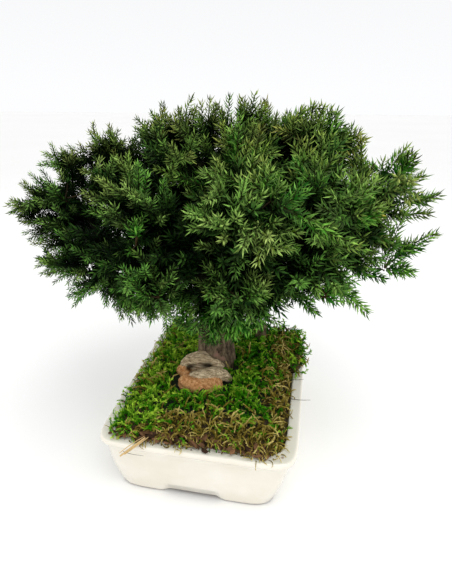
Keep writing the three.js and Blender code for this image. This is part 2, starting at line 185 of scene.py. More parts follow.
# The plumes that stand out of the crown's outline: tip, and the way across and up it points
OUTLINE_PLUMES = [
    (-146, -8, 198, -1.0, -0.3),
    (-132, -8, 208, -0.9, 0.4),
    (-127, -6, 226, -0.7, 0.7),
    (-118, 0, 239, -0.9, 0.5),
    (-106, 4, 242, -0.5, 0.9),
    (-94, 6, 245, -0.5, 0.9),
    (-77, 8, 246, 0.2, 1.0),
    (-65, 8, 253, 0.5, 0.8),
    (-46, 12, 259, -0.2, 1.0),
    (-37, 12, 263, -0.1, 1.0),
    (-25, 12, 264, 0.3, 1.0),
    (-13, 12, 264, 0.0, 1.0),
    (-2, 14, 273, -0.1, 1.0),
    (12, 14, 275, 0.1, 1.0),
    (29, 18, 276, -0.1, 1.0),
    (52, 20, 261, 0.0, 1.0),
    (60, 8, 259, -0.3, 1.0),
    (76, 6, 269, 0.4, 0.9),
    (87, 6, 253, 0.1, 1.0),
    (102, 4, 253, 0.5, 0.9),
    (139, -4, 240, 0.8, 0.7),
    (147, -8, 225, 0.9, 0.5),
    (159, -10, 212, 0.9, 0.5),
    (155, -10, 199, 1.0, 0.3),
    (161, -14, 184, 1.0, 0.0),
    (144, -16, 173, 1.0, -0.2),
    (147, -20, 157, 0.9, -0.3),
    (124, -26, 154, 0.9, -0.4),
    (110, -40, 134, 0.7, -0.7),
    (74, -44, 136, 0.9, -0.5),
    (36, -40, 134, 0.3, -0.9),
    (-137, -12, 184, -0.9, -0.4),
    (-127, -14, 178, -0.8, -0.6),
    (-132, -14, 159, -0.9, -0.4),
    (-119, -16, 147, -0.7, -0.7),
    (-107, -24, 139, -0.9, -0.3),
    (-73, -26, 132, 0.0, -1.0),
    (-60, -30, 121, 0.1, -1.0),
    (-37, -32, 130, 0.1, -1.0),
    (-23, -32, 127, 0.1, -1.0),
    (-8, -32, 118, -0.1, -1.0),
    (4, -36, 112, 0.0, -1.0),
    (16, -34, 108, 0.0, -1.0),
    (26, -34, 114, 0.1, -1.0),
    (10, -44, 116, 0.0, -1.0),
    (-58, 10, 248, 0.1, 1.0),
    (82, -40, 143, 0.6, -0.8),
    (-47, -30, 123, -0.1, -1.0),
]

# The camera, fitted to the photograph's 452 by 584 frame
CAMERA_PLACE = (69.3, -308.7, 277.5)
CAMERA_PITCH = math.radians(24.62)
CAMERA_LENS = 27.05
CAMERA_SENSOR = 36

# The light
ROOM_OVERHEAD = 0.2
LAMP_POWER = 3.5

MM = 0.001
UP = np.array([0.0, 0.0, 1.0])
GOLDEN_ANGLE = math.pi * (3 - math.sqrt(5))


def pot_middle():
    """Where the pot's foot has its middle, in the part's frame and in metres."""
    low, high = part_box("pot")
    return np.array([(low.x + high.x) / 2, (low.y + high.y) / 2, low.z])


POT_MIDDLE = pot_middle()


def to_frame(points):
    """Millimetres in the pot's frame as metres in the part's frame."""
    return np.asarray(points, float) * MM + POT_MIDDLE


def to_pot(points):
    """Metres in the part's frame as millimetres in the pot's frame."""
    return (np.asarray(points, float) - POT_MIDDLE) / MM


def unit(vector):
    """The vector at length one."""
    return vector / max(np.linalg.norm(vector), 1e-9)


def across_to(direction, rng):
    """A random direction square to the given one."""
    side = rng.normal(size=3)
    return unit(side - direction * (side @ direction))


def even_directions(count):
    """Directions spread evenly over a sphere."""
    heights = 1 - (np.arange(count) * 2 + 1) / count
    turns = np.arange(count) * GOLDEN_ANGLE
    wide = np.sqrt(1 - heights**2)
    return np.column_stack([np.cos(turns) * wide, np.sin(turns) * wide, heights])


def bent(start, middle, end, steps):
    """Points along a smooth bend from start to end that middle pulls aside."""
    shares = np.linspace(0, 1, steps + 1)[:, None]
    return start * (1 - shares) ** 2 + middle * 2 * shares * (1 - shares) + end * shares**2


def along_path(path, place):
    """A point of a path, counted in steps from its start, and the way on from there."""
    low = min(int(place), len(path) - 2)
    step = path[low + 1] - path[low]
    return path[low] + step * (place - low), unit(step)


# Meshes and pieces


def in_scene(made):
    """Puts an object in the scene."""
    bpy.context.scene.collection.objects.link(made)
    return made


def mesh_object(name, points, faces=(), edges=()):
    """A new mesh object from points in the pot's frame."""
    mesh = bpy.data.meshes.new(name)
    mesh.from_pydata([tuple(point) for point in to_frame(points)], edges, faces)
    mesh.update()
    return in_scene(bpy.data.objects.new(name, mesh))


def small_shape(name, points, faces):
    """A new mesh object round its own origin, to be laid out many times, not yet in the scene."""
    mesh = bpy.data.meshes.new(name)
    mesh.from_pydata([tuple(point) for point in np.array(points, float) * MM], [], faces)
    return bpy.data.objects.new(name, mesh)


def rework(mesh, change):
    """Opens a mesh for a change of its points or faces and closes it again."""
    work = bmesh.new()
    work.from_mesh(mesh)
    change(work)
    work.to_mesh(mesh)
    work.free()


def merged_copy(node_name, name):
    """A copy of a CAD node with its loose triangles joined into one surface."""
    mesh = frame["nodes"][node_name].data.copy()
    mesh.name = name
    rework(mesh, lambda work: bmesh.ops.remove_doubles(work, verts=work.verts, dist=0.001 * MM))
    mesh.materials.clear()
    return in_scene(bpy.data.objects.new(name, mesh))


def outward(piece):
    """Turns every face of a closed piece outwards."""
    rework(piece.data, lambda work: bmesh.ops.recalc_face_normals(work, faces=work.faces))
    return piece


def trim_faces(piece, keeps):
    """Takes off the faces whose middles fail the test."""

    def take_off(work):
        """Deletes the faces that the test doesn't keep."""
        spare = [face for face in work.faces if not keeps(to_pot(face.calc_center_median()))]
        bmesh.ops.delete(work, geom=spare, context="FACES")

    rework(piece.data, take_off)


def settle(piece):
    """Puts what the piece's modifiers make of it in place of its mesh, and takes the modifiers off."""
    scene_now = bpy.context.evaluated_depsgraph_get()
    plain = bpy.data.meshes.new_from_object(piece.evaluated_get(scene_now))
    old = piece.data
    piece.modifiers.clear()
    piece.data = plain
    plain.name = piece.name
    bpy.data.meshes.remove(old)
    return piece


def grown_together(piece, grid):
    """Makes one closed skin of the piece, on a grid of the given size."""
    skin = piece.modifiers.new("skin", "REMESH")
    skin.mode = "VOXEL"
    skin.voxel_size = grid * MM
    return settle(piece)


def discard(*things):
    """Removes helper objects that only fed other pieces."""
    for thing in things:
        bpy.data.objects.remove(thing)


def vertex_places(piece):
    """The mesh's points as rows, in the pot's frame."""
    places = np.empty(len(piece.data.vertices) * 3)
    piece.data.vertices.foreach_get("co", places)
    return to_pot(places.reshape(-1, 3))


def set_vertex_places(piece, points):
    """Moves the mesh's points."""
    piece.data.vertices.foreach_set("co", to_frame(points).ravel())
    piece.data.update()


def vertex_normals(piece):
    """The mesh's normals at its points, as rows."""
    normals = np.empty(len(piece.data.vertices) * 3)
    piece.data.vertex_normals.foreach_get("vector", normals)
    return normals.reshape(-1, 3)


def keep_number(piece, name, values, domain="POINT"):
    """Keeps one number at each point or face of the mesh."""
    layer = piece.data.attributes.new(name, "FLOAT", domain)
    layer.data.foreach_set("value", np.asarray(values, np.float32))


def smooth(piece):
    """Shades the piece smooth."""
    piece.data.shade_smooth()
    return piece


def finish_piece(piece, slot, *replaced):
    """Rides the piece on the part and hides the CAD nodes that it stands for. The slot's name is not used.
    """
    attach(piece, "root")
    if replaced:
        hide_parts(*replaced)


def ring_faces(rings, sides):
    """The faces between rings of points, each ring with the same number of sides."""
    faces = []
    for low in range(0, (rings - 1) * sides, sides):
        for turn in range(sides):
            after = (turn + 1) % sides
            faces.append((low + turn, low + after, low + sides + after, low + sides + turn))
    return faces


def tube(path, radii, sides=3):
    """Points and faces of a closed tube along a path."""
    path = np.asarray(path, float)
    points = []
    side = np.array([1.0, 0.0, 0.0])
    for step, here in enumerate(path):
        ahead = unit(path[min(step + 1, len(path) - 1)] - path[max(step - 1, 0)])
        side = side - ahead * (side @ ahead)
        side = unit(side) if np.linalg.norm(side) > 1e-3 else unit(np.cross(ahead, [0.3, 1, 0.2]))
        over = np.cross(ahead, side)
        for turn in range(sides):
            angle = 2 * math.pi * turn / sides
            points.append(here + (side * math.cos(angle) + over * math.sin(angle)) * radii[step])
    ends = [tuple(range(sides))[::-1], tuple(range(len(points) - sides, len(points)))]
    return points, ring_faces(len(path), sides) + ends


def bundle(parts):
    """The points and the faces of several shapes, brought together as those of one."""
    points, faces = [], []
    for more, sides in parts:
        faces += [tuple(len(points) + corner for corner in face) for face in sides]
        points += list(more)
    return points, faces


class Places:
    """Points to search for the one nearest to a place, each with a word or number of its own."""

    def __init__(self, points, words=None):
        self.words = words or [None] * len(points)
        self.tree = kdtree.KDTree(len(points))
        for index, point in enumerate(points):
            self.tree.insert(point, index)
        self.tree.balance()

    def nearest(self, place):
        """The nearest point and its word."""
        point, index, _ = self.tree.find(Vector(place))
        return np.array(point), self.words[index]


# Node trees


def put(tree, kind, fills=None, out=0, **settings):
    """Adds a node, sets it up, fills or joins its inputs, and gives back one of its outputs."""
    made = tree.nodes.new(kind)
    for name, value in settings.items():
        setattr(made, name, value)
    for key, value in (fills or {}).items():
        if isinstance(key, int):
            socket = made.inputs[key]
        else:
            socket = next(s for s in made.inputs if s.name == key and s.enabled)
        if isinstance(value, bpy.types.NodeSocket):
            tree.links.new(value, socket)
        else:
            socket.default_value = value
    outputs = [s for s in made.outputs if s.enabled]
    return outputs[out] if isinstance(out, int) else next(s for s in outputs if s.name == out)


def calc(tree, operation, first, second=0.0, third=0.0):
    """One sum on numbers."""
    fills = {0: first, 1: second}
    if operation == "MULTIPLY_ADD":
        fills[2] = third
    return put(tree, "ShaderNodeMath", fills, operation=operation)


def vector_calc(tree, operation, first, second=(0.0, 0.0, 0.0), out=0):
    """One sum on vectors."""
    return put(tree, "ShaderNodeVectorMath", {0: first, 1: second}, out, operation=operation)


def part_of(tree, vector, axis):
    """One of a vector's three parts, by the letter of its axis."""
    return put(tree, "ShaderNodeSeparateXYZ", {0: vector}, out=axis)


def spread(tree, value, low, high, to_low=0.0, to_high=1.0):
    """A value taken from one range to another and held inside it."""
    fills = {0: value, 1: low, 2: high, 3: to_low, 4: to_high}
    return put(tree, "ShaderNodeMapRange", fills)


def geometry_tree(name):
    """An empty Geometry Nodes tree, and the geometry that comes into it."""
    tree = bpy.data.node_groups.new(name, "GeometryNodeTree")
    for way in ("INPUT", "OUTPUT"):
        tree.interface.new_socket("Geometry", in_out=way, socket_type="NodeSocketGeometry")
    return tree, tree.nodes.new("NodeGroupInput").outputs["Geometry"]


def closed_tree(tree, geometry, finish):
    """The tree, ended: its instances are made real and get their material."""
    real = put(tree, "GeometryNodeRealizeInstances", {"Geometry": geometry})
    done = put(tree, "GeometryNodeSetMaterial", {"Geometry": real, "Material": finish})
    tree.links.new(done, tree.nodes.new("NodeGroupOutput").inputs[0])
    return tree


def grow(piece, tree):
    """Runs the tree on the piece."""
    piece.modifiers.new(tree.name, "NODES").node_group = tree
    settle(piece)


def stored(tree, geometry, name, value, domain="POINT"):
    """Keeps a number on the geometry under a name."""
    fills = {"Geometry": geometry, "Name": name, "Value": value}
    return put(tree, "GeometryNodeStoreNamedAttribute", fills, data_type="FLOAT", domain=domain)


def kept(tree, name):
    """Reads a number kept under a name."""
    return put(tree, "GeometryNodeInputNamedAttribute", {"Name": name}, data_type="FLOAT")


def chance(tree, seed, low, high):
    """A random number for each element."""
    fills = {"Min": low, "Max": high, "Seed": seed}
    return put(tree, "FunctionNodeRandomValue", fills, data_type="FLOAT")


def turned(tree, rotation, axis, angle):
    """A rotation turned further about one of its own axes."""
    by = put(tree, "FunctionNodeAxisAngleToRotation", {"Axis": axis, "Angle": angle})
    fills = {"Rotation": rotation, "Rotate By": by}
    return put(tree, "FunctionNodeRotateRotation", fills, rotation_space="LOCAL")


# Materials


def colour(red, green, blue):
    """A colour given as it shows on a screen, from 0 to 255, as linear light."""
    shares = np.array([red, green, blue]) / 255
    linear = np.where(shares <= 0.04045, shares / 12.92, ((shares + 0.055) / 1.055) ** 2.4)
    return (*linear, 1.0)


def material(name):
    """A new node material, its tree and its surface shader."""
    made = bpy.data.materials.new(name)
    made.use_nodes = True
    tree = made.node_tree
    shader = next(n for n in tree.nodes if n.type == "BSDF_PRINCIPLED")
    return made, tree, shader


def coordinates(tree, stretch=(1.0, 1.0, 1.0), turn=(0.0, 0.0, 0.0)):
    """The surface's place on the object, in metres, turned and stretched."""
    place = put(tree, "ShaderNodeTexCoord", out="Object")
    return put(tree, "ShaderNodeMapping", {"Vector": place, "Scale": stretch, "Rotation": turn})


def grain(tree, place, size, detail=4.0, roughness=0.55, distortion=0.0):
    """Cloudy noise with patches of the given size in millimetres."""
    fills = {
        "Vector": place,
        "Scale": 1 / (size * MM),
        "Detail": detail,
        "Roughness": roughness,
        "Distortion": distortion,
    }
    return put(tree, "ShaderNodeTexNoise", fills)


def ramp(tree, value, *stops):
    """Colours by value: each stop is a place from 0 to 1 and a colour."""
    node = put(tree, "ShaderNodeValToRGB", {0: value}).node
    elements = node.color_ramp.elements
    while len(elements) < len(stops):
        elements.new(0.5)
    for element, (place, shade) in zip(elements, stops):
        element.position = place
        element.color = shade
    return node.outputs["Color"]


def blended(tree, share, first, second, way="MIX"):
    """Two colours mixed, by the share of the second."""
    fills = {0: share, 6: first, 7: second}
    return put(tree, "ShaderNodeMix", fills, data_type="RGBA", blend_type=way)


def attribute(tree, name):
    """A number kept on the mesh."""
    return put(tree, "ShaderNodeAttribute", out="Fac", attribute_name=name)


def relief(tree, shader, height, depth, strength=1.0):
    """Fine relief, with its depth in millimetres."""
    fills = {"Height": height, "Distance": depth * MM, "Strength": strength}
    tree.links.new(put(tree, "ShaderNodeBump", fills), shader.inputs["Normal"])


def surface(tree, shader, tone, levels):
    """Joins the colour to the shader and sets the levels of its other inputs."""
    tree.links.new(tone, shader.inputs["Base Color"])
    for name, level in levels.items():
        shader.inputs[name].default_value = level


def glazed_clay():
    """Warm white glaze with faint clouds, specks, a rim top greyed by painted shade, one chip, and bare clay
    beneath.
    """
    made, tree, shader = material("warm_white_glaze")
    place = coordinates(tree)
    clouds = grain(tree, place, 26, 3)
    tone = ramp(tree, clouds, (0.3, colour(229, 222, 206)), (0.7, colour(238, 233, 221)))
    speckle = spread(tree, grain(tree, place, 1.6, 2), 0.7, 0.8, 0.0, 0.6)
    tone = blended(tree, speckle, tone, colour(214, 204, 180))
    height = part_of(tree, place, "Z")
    # Painted shade greys the rim's top face.
    level = calc(tree, "MULTIPLY_ADD", clouds, 0.6 * MM, height)
    rim = spread(tree, level, (POT_HEIGHT - 0.5) * MM, (POT_HEIGHT + 0.1) * MM)
    tone = blended(tree, rim, tone, colour(214, 211, 196))
    from_chip = vector_calc(tree, "DISTANCE", place, tuple(to_frame(CHIP_PLACE)), "Value")
    chip = spread(tree, from_chip, 0.8 * MM, 1.5 * MM, 0.8, 0.0)
    tone = blended(tree, chip, tone, colour(132, 100, 74))
    facing = part_of(tree, put(tree, "ShaderNodeNewGeometry", out="True Normal"), "Z")
    downward = calc(tree, "LESS_THAN", facing, -0.7)
    under = calc(tree, "MULTIPLY", downward, calc(tree, "LESS_THAN", height, 7 * MM))
    tone = blended(tree, under, tone, colour(120, 100, 78))
    surface(tree, shader, tone, {"Roughness": 0.22, "Coat Weight": 0.3, "Coat Roughness": 0.08})
    relief(tree, shader, clouds, 0.5, 0.3)
    return made


def juniper_leaf():
    """Needles from dark to fresh green, yellower or browner towards the ends of some shoots, with painted
    shade where the crown hides the sky and at each needle's foot, and painted light where the sky is open.
    """
    made, tree, shader = material("juniper_needles")
    hue, own, along = (attribute(tree, name) for name in ("hue", "needle_tint", "along"))
    mood = calc(tree, "MULTIPLY_ADD", own, 0.7, calc(tree, "MULTIPLY", hue, 0.35))
    greens = [(0.15, colour(6, 40, 3)), (0.5, colour(30, 90, 12)), (0.85, colour(104, 158, 58))]
    tone = ramp(tree, mood, *greens)
    tone = blended(tree, spread(tree, hue, 0.7, 1.0, 0.0, 0.5), tone, colour(20, 88, 34))
    yellow = ramp(tree, own, (0.2, colour(102, 112, 28)), (0.8, colour(190, 198, 120)))
    sunny = calc(tree, "MULTIPLY", spread(tree, along, 0.1, 1.0), attribute(tree, "sun"))
    tone = blended(tree, sunny, tone, yellow)
    brown = ramp(tree, own, (0.2, colour(62, 56, 16)), (0.8, colour(142, 126, 56)))
    rusty = calc(tree, "MULTIPLY", spread(tree, along, 0.35, 1.0), attribute(tree, "rust"))
    tone = blended(tree, rusty, tone, brown)
    band = calc(tree, "MULTIPLY", attribute(tree, "upper"), 0.1)
    tone = blended(tree, band, tone, colour(160, 186, 116))
    tone = blended(tree, attribute(tree, "dry"), tone, colour(176, 158, 62))
    bark = blended(tree, attribute(tree, "leafy"), colour(88, 68, 42), colour(64, 72, 26))
    tone = blended(tree, attribute(tree, "stem"), tone, bark)
    # Painted shade and light: darker where little sky reaches and towards each needle's foot, brighter than
    # the needle's own colour in the open.
    open_sky = calc(tree, "POWER", attribute(tree, "daylight"), 2.6)
    out_of_whorl = spread(tree, attribute(tree, "rise"), 0, 0.8, 0.3, 1.0)
    open_sky = calc(tree, "MULTIPLY", open_sky, out_of_whorl)
    shade = ramp(tree, open_sky, (0.0, (0.01, 0.035, 0.01, 1)), (0.8, (1.32, 1.32, 1.32, 1)))
    tone = blended(tree, 1.0, tone, shade, "MULTIPLY")
    surface(tree, shader, tone, {"Roughness": 0.5, "Specular IOR Level": 0.06})
    return made


def rough_bark(name, light, shaded_above=None):
    """Grey-brown bark with long cracks and a pinkish flake here and there, its colours scaled by a painted
    light level, and with painted shade inside the crown.
    """
    made, tree, shader = material(name)

    def lit(red, green, blue):
        """A colour scaled by the painted light level."""
        return (*(np.array(colour(red, green, blue)[:3]) * light), 1.0)

    streaks = grain(tree, coordinates(tree, (1.0, 1.0, 0.45)), 3.6, 6, 0.65)
    tone = ramp(tree, streaks, (0.34, lit(44, 36, 28)), (0.5, lit(98, 84, 66)), (0.7, lit(150, 132, 106)))
    place = coordinates(tree)
    flakes = spread(tree, grain(tree, place, 11, 3), 0.56, 0.66)
    tone = blended(tree, flakes, tone, lit(146, 114, 98))
    # Painted shade over the wood inside the crown, above the given height.
    if shaded_above:
        low, high = (shaded_above - 12) * MM, (shaded_above + 12) * MM
        shaded = spread(tree, part_of(tree, place, "Z"), low, high, 0.0, 0.96)
        tone = blended(tree, shaded, tone, colour(14, 20, 8))
    surface(tree, shader, tone, {"Roughness": 0.9, "Specular IOR Level": 0.1})
    relief(tree, shader, streaks, 1.0)
    return made


def weathered_wood():
    """Old root wood: grey and streaked above, orange and bare where the bark is gone, with painted shade in
    the slot between two rolls.
    """
    made, tree, shader = material("weathered_root")
    streaks = grain(tree, coordinates(tree, (0.42, 1.7, 1.7), (0, 0.15, 0.2)), 2.4, 6, 0.7, 0.4)
    crumbly = grain(tree, coordinates(tree), 2.2, 5, 0.7)
    greys = [(0.32, colour(74, 60, 42)), (0.48, colour(180, 158, 124)), (0.64, colour(236, 220, 186))]
    oranges = [(0.3, colour(142, 88, 48)), (0.5, colour(206, 148, 96)), (0.72, colour(240, 200, 150))]
    bare = calc(tree, "ADD", attribute(tree, "bare"), spread(tree, crumbly, 0.3, 0.7, -0.25, 0.25))
    bare = spread(tree, bare, 0.4, 0.6)
    tone = blended(tree, bare, ramp(tree, streaks, *greys), ramp(tree, crumbly, *oranges))
    # Painted shade darkens the slot between the rolls.
    slot = calc(tree, "MULTIPLY", attribute(tree, "slot"), 0.9)
    tone = blended(tree, slot, tone, colour(26, 20, 14))
    surface(tree, shader, tone, {"Roughness": 0.9, "Specular IOR Level": 0.1})
    relief(tree, shader, streaks, 0.9)
    return made


def moss_leaf(name, dark, middle, light, brighter_left=0.0):
    """Moss in three tones, with painted shade at the foot of each strand and painted light at its tips."""
    made, tree, shader = material(name)
    place = coordinates(tree)
    patch = spread(tree, grain(tree, place, 15, 3), 0.3, 0.7)
    mood = calc(tree, "MULTIPLY_ADD", attribute(tree, "tint"), 0.3, calc(tree, "MULTIPLY", patch, 0.3))
    # Painted shade and light: darker towards each strand's foot, lighter at its tips.
    mood = calc(tree, "MULTIPLY_ADD", attribute(tree, "rise"), 0.5, mood)
    if brighter_left:
        leftward = spread(tree, part_of(tree, place, "X"), -10 * MM, -50 * MM, 0.0, brighter_left)
        mood = calc(tree, "ADD", mood, leftward)
    tone = ramp(tree, mood, (0.2, dark), (0.6, middle), (0.98, light))
    surface(tree, shader, tone, {"Roughness": 0.6, "Specular IOR Level": 0.08})
    return made


def matted_ground(name, dark, light):
    """Ground of fine matted crumbs, for the bed under the moss and for the soil."""
    made, tree, shader = material(name)
    mat = grain(tree, coordinates(tree), 2.4, 5, 0.7)
    surface(tree, shader, ramp(tree, mat, (0.35, dark), (0.7, light)), {"Roughness": 0.95})
    relief(tree, shader, mat, 1.2)
    return made


def screen_plastic():
    """Dark woven plastic."""
    made, tree, shader = material("screen_plastic")
    fills = {"Vector": coordinates(tree), "Scale": 1 / (2 * MM)}
    threads = put(tree, "ShaderNodeTexChecker", fills, out="Fac")
    tone = blended(tree, threads, colour(18, 20, 19), colour(46, 50, 48))
    surface(tree, shader, tone, {"Roughness": 0.4})
    relief(tree, shader, threads, 0.3)
    return made


def repaint(node_name, finish):
    """Gives a CAD node that stays its procedural material."""
    node = frame["nodes"][node_name]
    for slot in node.material_slots:
        slot.material = finish


# The pot


def pot_plan(radius, angle):
    """A point of the pot's outline at that half width, by the angle round it."""
    offset = min(POT_WIDTH / 2 - radius, 30)
    stretch = (POT_LENGTH / 2 - offset) / (POT_WIDTH / 2 - offset)
    power = 2 / (POT_SQUARENESS - CORNER_SOFTENING * max(offset, 0))
    across, forward = math.sin(angle), math.cos(angle)
    x = radius * math.copysign(abs(across) ** power, across)
    y = radius * stretch * math.copysign(abs(forward) ** power, forward)
    return x, y


def steeper(x, y, height):
    """A point of the pot drawn in where the left and the front walls stand steeper."""
    rise = height / POT_HEIGHT
    x += LEFT_STEEPNESS * rise * max(-x / (POT_WIDTH / 2), 0)
    y += FRONT_STEEPNESS * rise * max(-y / (POT_LENGTH / 2), 0)
    return x, y, height


def pot_angles(count):
    """Angles whose points are spread evenly along the pot's outline."""
    fine = np.linspace(0, 2 * math.pi, 4001)
    places = np.array([pot_plan(POT_WIDTH / 2, angle) for angle in fine])
    walked = np.concatenate([[0], np.cumsum(np.linalg.norm(np.diff(places, axis=0), axis=1))])
    return np.interp(np.linspace(0, walked[-1], count + 1)[:-1], walked, fine)


def rounded(corners, steps=5):
    """A profile with its corners rounded: each corner is inward offset, height and radius."""
    made = []
    for index, (offset, height, radius) in enumerate(corners):
        here = np.array([offset, height], float)
        if radius == 0:
            made.append(here)
            continue
        before = here + unit(np.array(corners[index - 1][:2]) - here) * radius
        after = here + unit(np.array(corners[index + 1][:2]) - here) * radius
        made += list(bent(before, here, after, steps))
    return made


# The pot's wall in section, from under the floor round to above it: inward offset, height, rounding
POT_PROFILE = [
    (POT_WIDTH / 2, 6, 0),
    (26, 6, 1.5),
    (23, 0, 1.0),
    (13.6, 0, 2.4),
    (7.6, 20, 8),
    (3.2, 43.4, 2.4),
    (0, 46.0, 1.4),
    (0, POT_HEIGHT, 2.6),
    (RIM_WIDTH, POT_HEIGHT, 1.3),
    (RIM_WIDTH + 1.5, 41, 2),
    (20, 13, 5),
    (27, 10, 4),
    (POT_WIDTH / 2, 10, 0),
]


def foot_lift(x, y, height):
    """How far the foot rises over the gap in the middle of each side."""
    along = min(abs(x) / (POT_WIDTH / 2), abs(y) / (POT_LENGTH / 2))
    edge = np.clip((FOOT_GAP_SHARE - along) / FOOT_GAP_EDGE, 0, 1)
    near_foot = np.clip(1 - height / FOOT_LIFT, 0, 1)
    return FOOT_LIFT * edge * edge * (3 - 2 * edge) * near_foot


def pot_body():
    """The pot as one squared wall round its middle, with feet at its corners and two drain holes."""
    profile = rounded(POT_PROFILE)
    angles = pot_angles(POT_SIDES)
    points = []
    for offset, height in profile[1:-1]:
        for angle in angles:
            x, y = pot_plan(POT_WIDTH / 2 - offset, angle)
            points.append(steeper(x, y, height + foot_lift(x, y, height)))
    under, inside = len(points), len(points) + 1
    faces = ring_faces(len(profile) - 2, POT_SIDES)
    for side in range(POT_SIDES):
        after = (side + 1) % POT_SIDES
        faces.append((under, side, after))
        faces.append((inside, under - POT_SIDES + after, under - POT_SIDES + side))
    points += [(0, 0, profile[0][1]), (0, 0, profile[-1][1])]
    pot = outward(mesh_object("glazed_pot", points, faces))
    for sign in (-1, 1):
        drill(pot, (0, sign * DRAIN_OFFSET, 8), DRAIN_RADIUS)
    return pot


def drill(piece, place, radius):
    """Cuts a round upright hole, 12 mm deep."""
    ends = [np.add(place, (0, 0, -6)), np.add(place, (0, 0, 6))]
    bit = mesh_object("drill_bit", *tube(ends, [radius] * 2, 40))
    cut = piece.modifiers.new("hole", "BOOLEAN")
    cut.operation = "DIFFERENCE"
    cut.object = bit
    settle(piece)
    discard(bit)


def make_pot():
    """The glazed pot in place of its CAD solid."""
    pot = smooth(pot_body())
    pot.data.materials.append(glazed_clay())
    finish_piece(pot, "pot_glaze", "pot")


# The moss


def frond_path(length, droop, sway, steps):
    """A stem that rises from the origin and bends over."""
    path = [np.zeros(3)]
    for step in range(steps):
        share = (step + 0.5) / steps
        lean = droop * share
        turn = sway * share
        ahead = (math.sin(lean) * math.cos(turn), math.sin(lean) * math.sin(turn), math.cos(lean))
        path.append(path[-1] + np.array(ahead) * length / steps)
    return np.array(path)


# The faces of a closed pointed blade: its points are the foot, the two sides and the tip
BLADE_FACES = [(0, 3, 1), (0, 2, 3), (0, 1, 2), (3, 2, 1)]


def moss_frond(name, rng, length, leaflet, pairs, curl, girth, broad):
    """One strand of moss: a bent stem with closed pointed leaflets on both sides."""
    steps = 4
    path = frond_path(length, curl, rng.uniform(-1.5, 1.5), steps)
    parts = [tube(path, np.linspace(girth, girth * 0.4, steps + 1))]
    rise = list(np.repeat(np.linspace(0, 1, steps + 1), 3))
    for index in range(pairs * 2):
        share = 0.1 + 0.86 * (index // 2 + rng.random() * 0.5) / pairs
        start, ahead = along_path(path, share * steps)
        out = across_to(ahead, rng) * (1 if index % 2 else -1)
        tip = start + (ahead * 0.85 + out * 0.7) * leaflet * (1.1 - 0.4 * share)
        wide = np.cross(ahead, out) * leaflet * broad
        belly = start + (tip - start) * 0.4
        bulge = out * 0.25
        parts.append(([start, belly + wide + bulge, belly - wide + bulge, tip], BLADE_FACES))
        rise += [share, share + 0.15, share + 0.15, share + 0.35]
    made = small_shape(name, *bundle(parts))
    # How far up the strand each point lies, for its painted shade.
    keep_number(made, "rise", np.clip(rise, 0, 1))
    return outward(made)


def crumb(name, rng, size):
    """A flake of bark or old root, with a dozen faces."""
    sizes = np.array([rng.uniform(1.0, 1.9), rng.uniform(0.6, 1.0), rng.uniform(0.3, 0.5)]) * size
    work = bmesh.new()
    for way in even_directions(8):
        work.verts.new(way * sizes * rng.uniform(0.75, 1.2) * MM)
    bmesh.ops.convex_hull(work, input=work.verts)
    mesh = bpy.data.meshes.new(name)
    work.to_mesh(mesh)
    work.free()
    return bpy.data.objects.new(name, mesh)


def kit(name, things):
    """A hidden collection of small shapes to strew."""
    made = bpy.data.collections.new(name)
    for thing in things:
        made.objects.link(thing)
    return made


def moss_kits(rng):
    """The small shapes that the moss is made of: fronds, curled dry strands and flakes."""
    fronds = [
        moss_frond(f"frond_{n}", rng, rng.uniform(8, 13), 3.1, 4, rng.uniform(0.9, 2.5), 0.6, 0.2)
        for n in range(7)
    ]
    strands = [
        moss_frond(f"strand_{n}", rng, rng.uniform(10, 16), 1.6, 4, rng.uniform(1.6, 3.8), 0.72, 0.36)
        for n in range(7)
    ]
    crumbs = [crumb(f"crumb_{n}", rng, 1.0) for n in range(5)]
    flakes = [crumb(f"flake_{n}", rng, 3.0) for n in range(5)]
    kinds = {"fronds": fronds, "dry_strands": strands, "crumbs": crumbs, "flakes": flakes}
    return {name: kit(name, things) for name, things in kinds.items()}


def clear_of_burl(tree):
    """Whether a place lies outside the oval on which the burl stands."""
    place = put(tree, "GeometryNodeInputPosition")
    near = vector_calc(tree, "SUBTRACT", place, tuple(to_frame(BURL_FOOT)))
    stretch = (1 / BURL_HALF_WIDTHS[0], 1 / BURL_HALF_WIDTHS[1], 0)
    near = vector_calc(tree, "MULTIPLY", near, stretch)
    return calc(tree, "GREATER_THAN", vector_calc(tree, "LENGTH", near, out="Value"), MM)


def spots_on(tree, ground, apart, seed):
    """Points over the upward faces of a ground, no two nearer than they may be."""
    rise = part_of(tree, put(tree, "GeometryNodeInputNormal"), "Z")
    upward = calc(tree, "GREATER_THAN", rise, 0.05)
    fills = {"Mesh": ground, "Selection": upward, 2: apart * MM, 3: 2e6, "Seed": seed}
    return put(tree, "GeometryNodeDistributePointsOnFaces", fills, distribute_method="POISSON").node


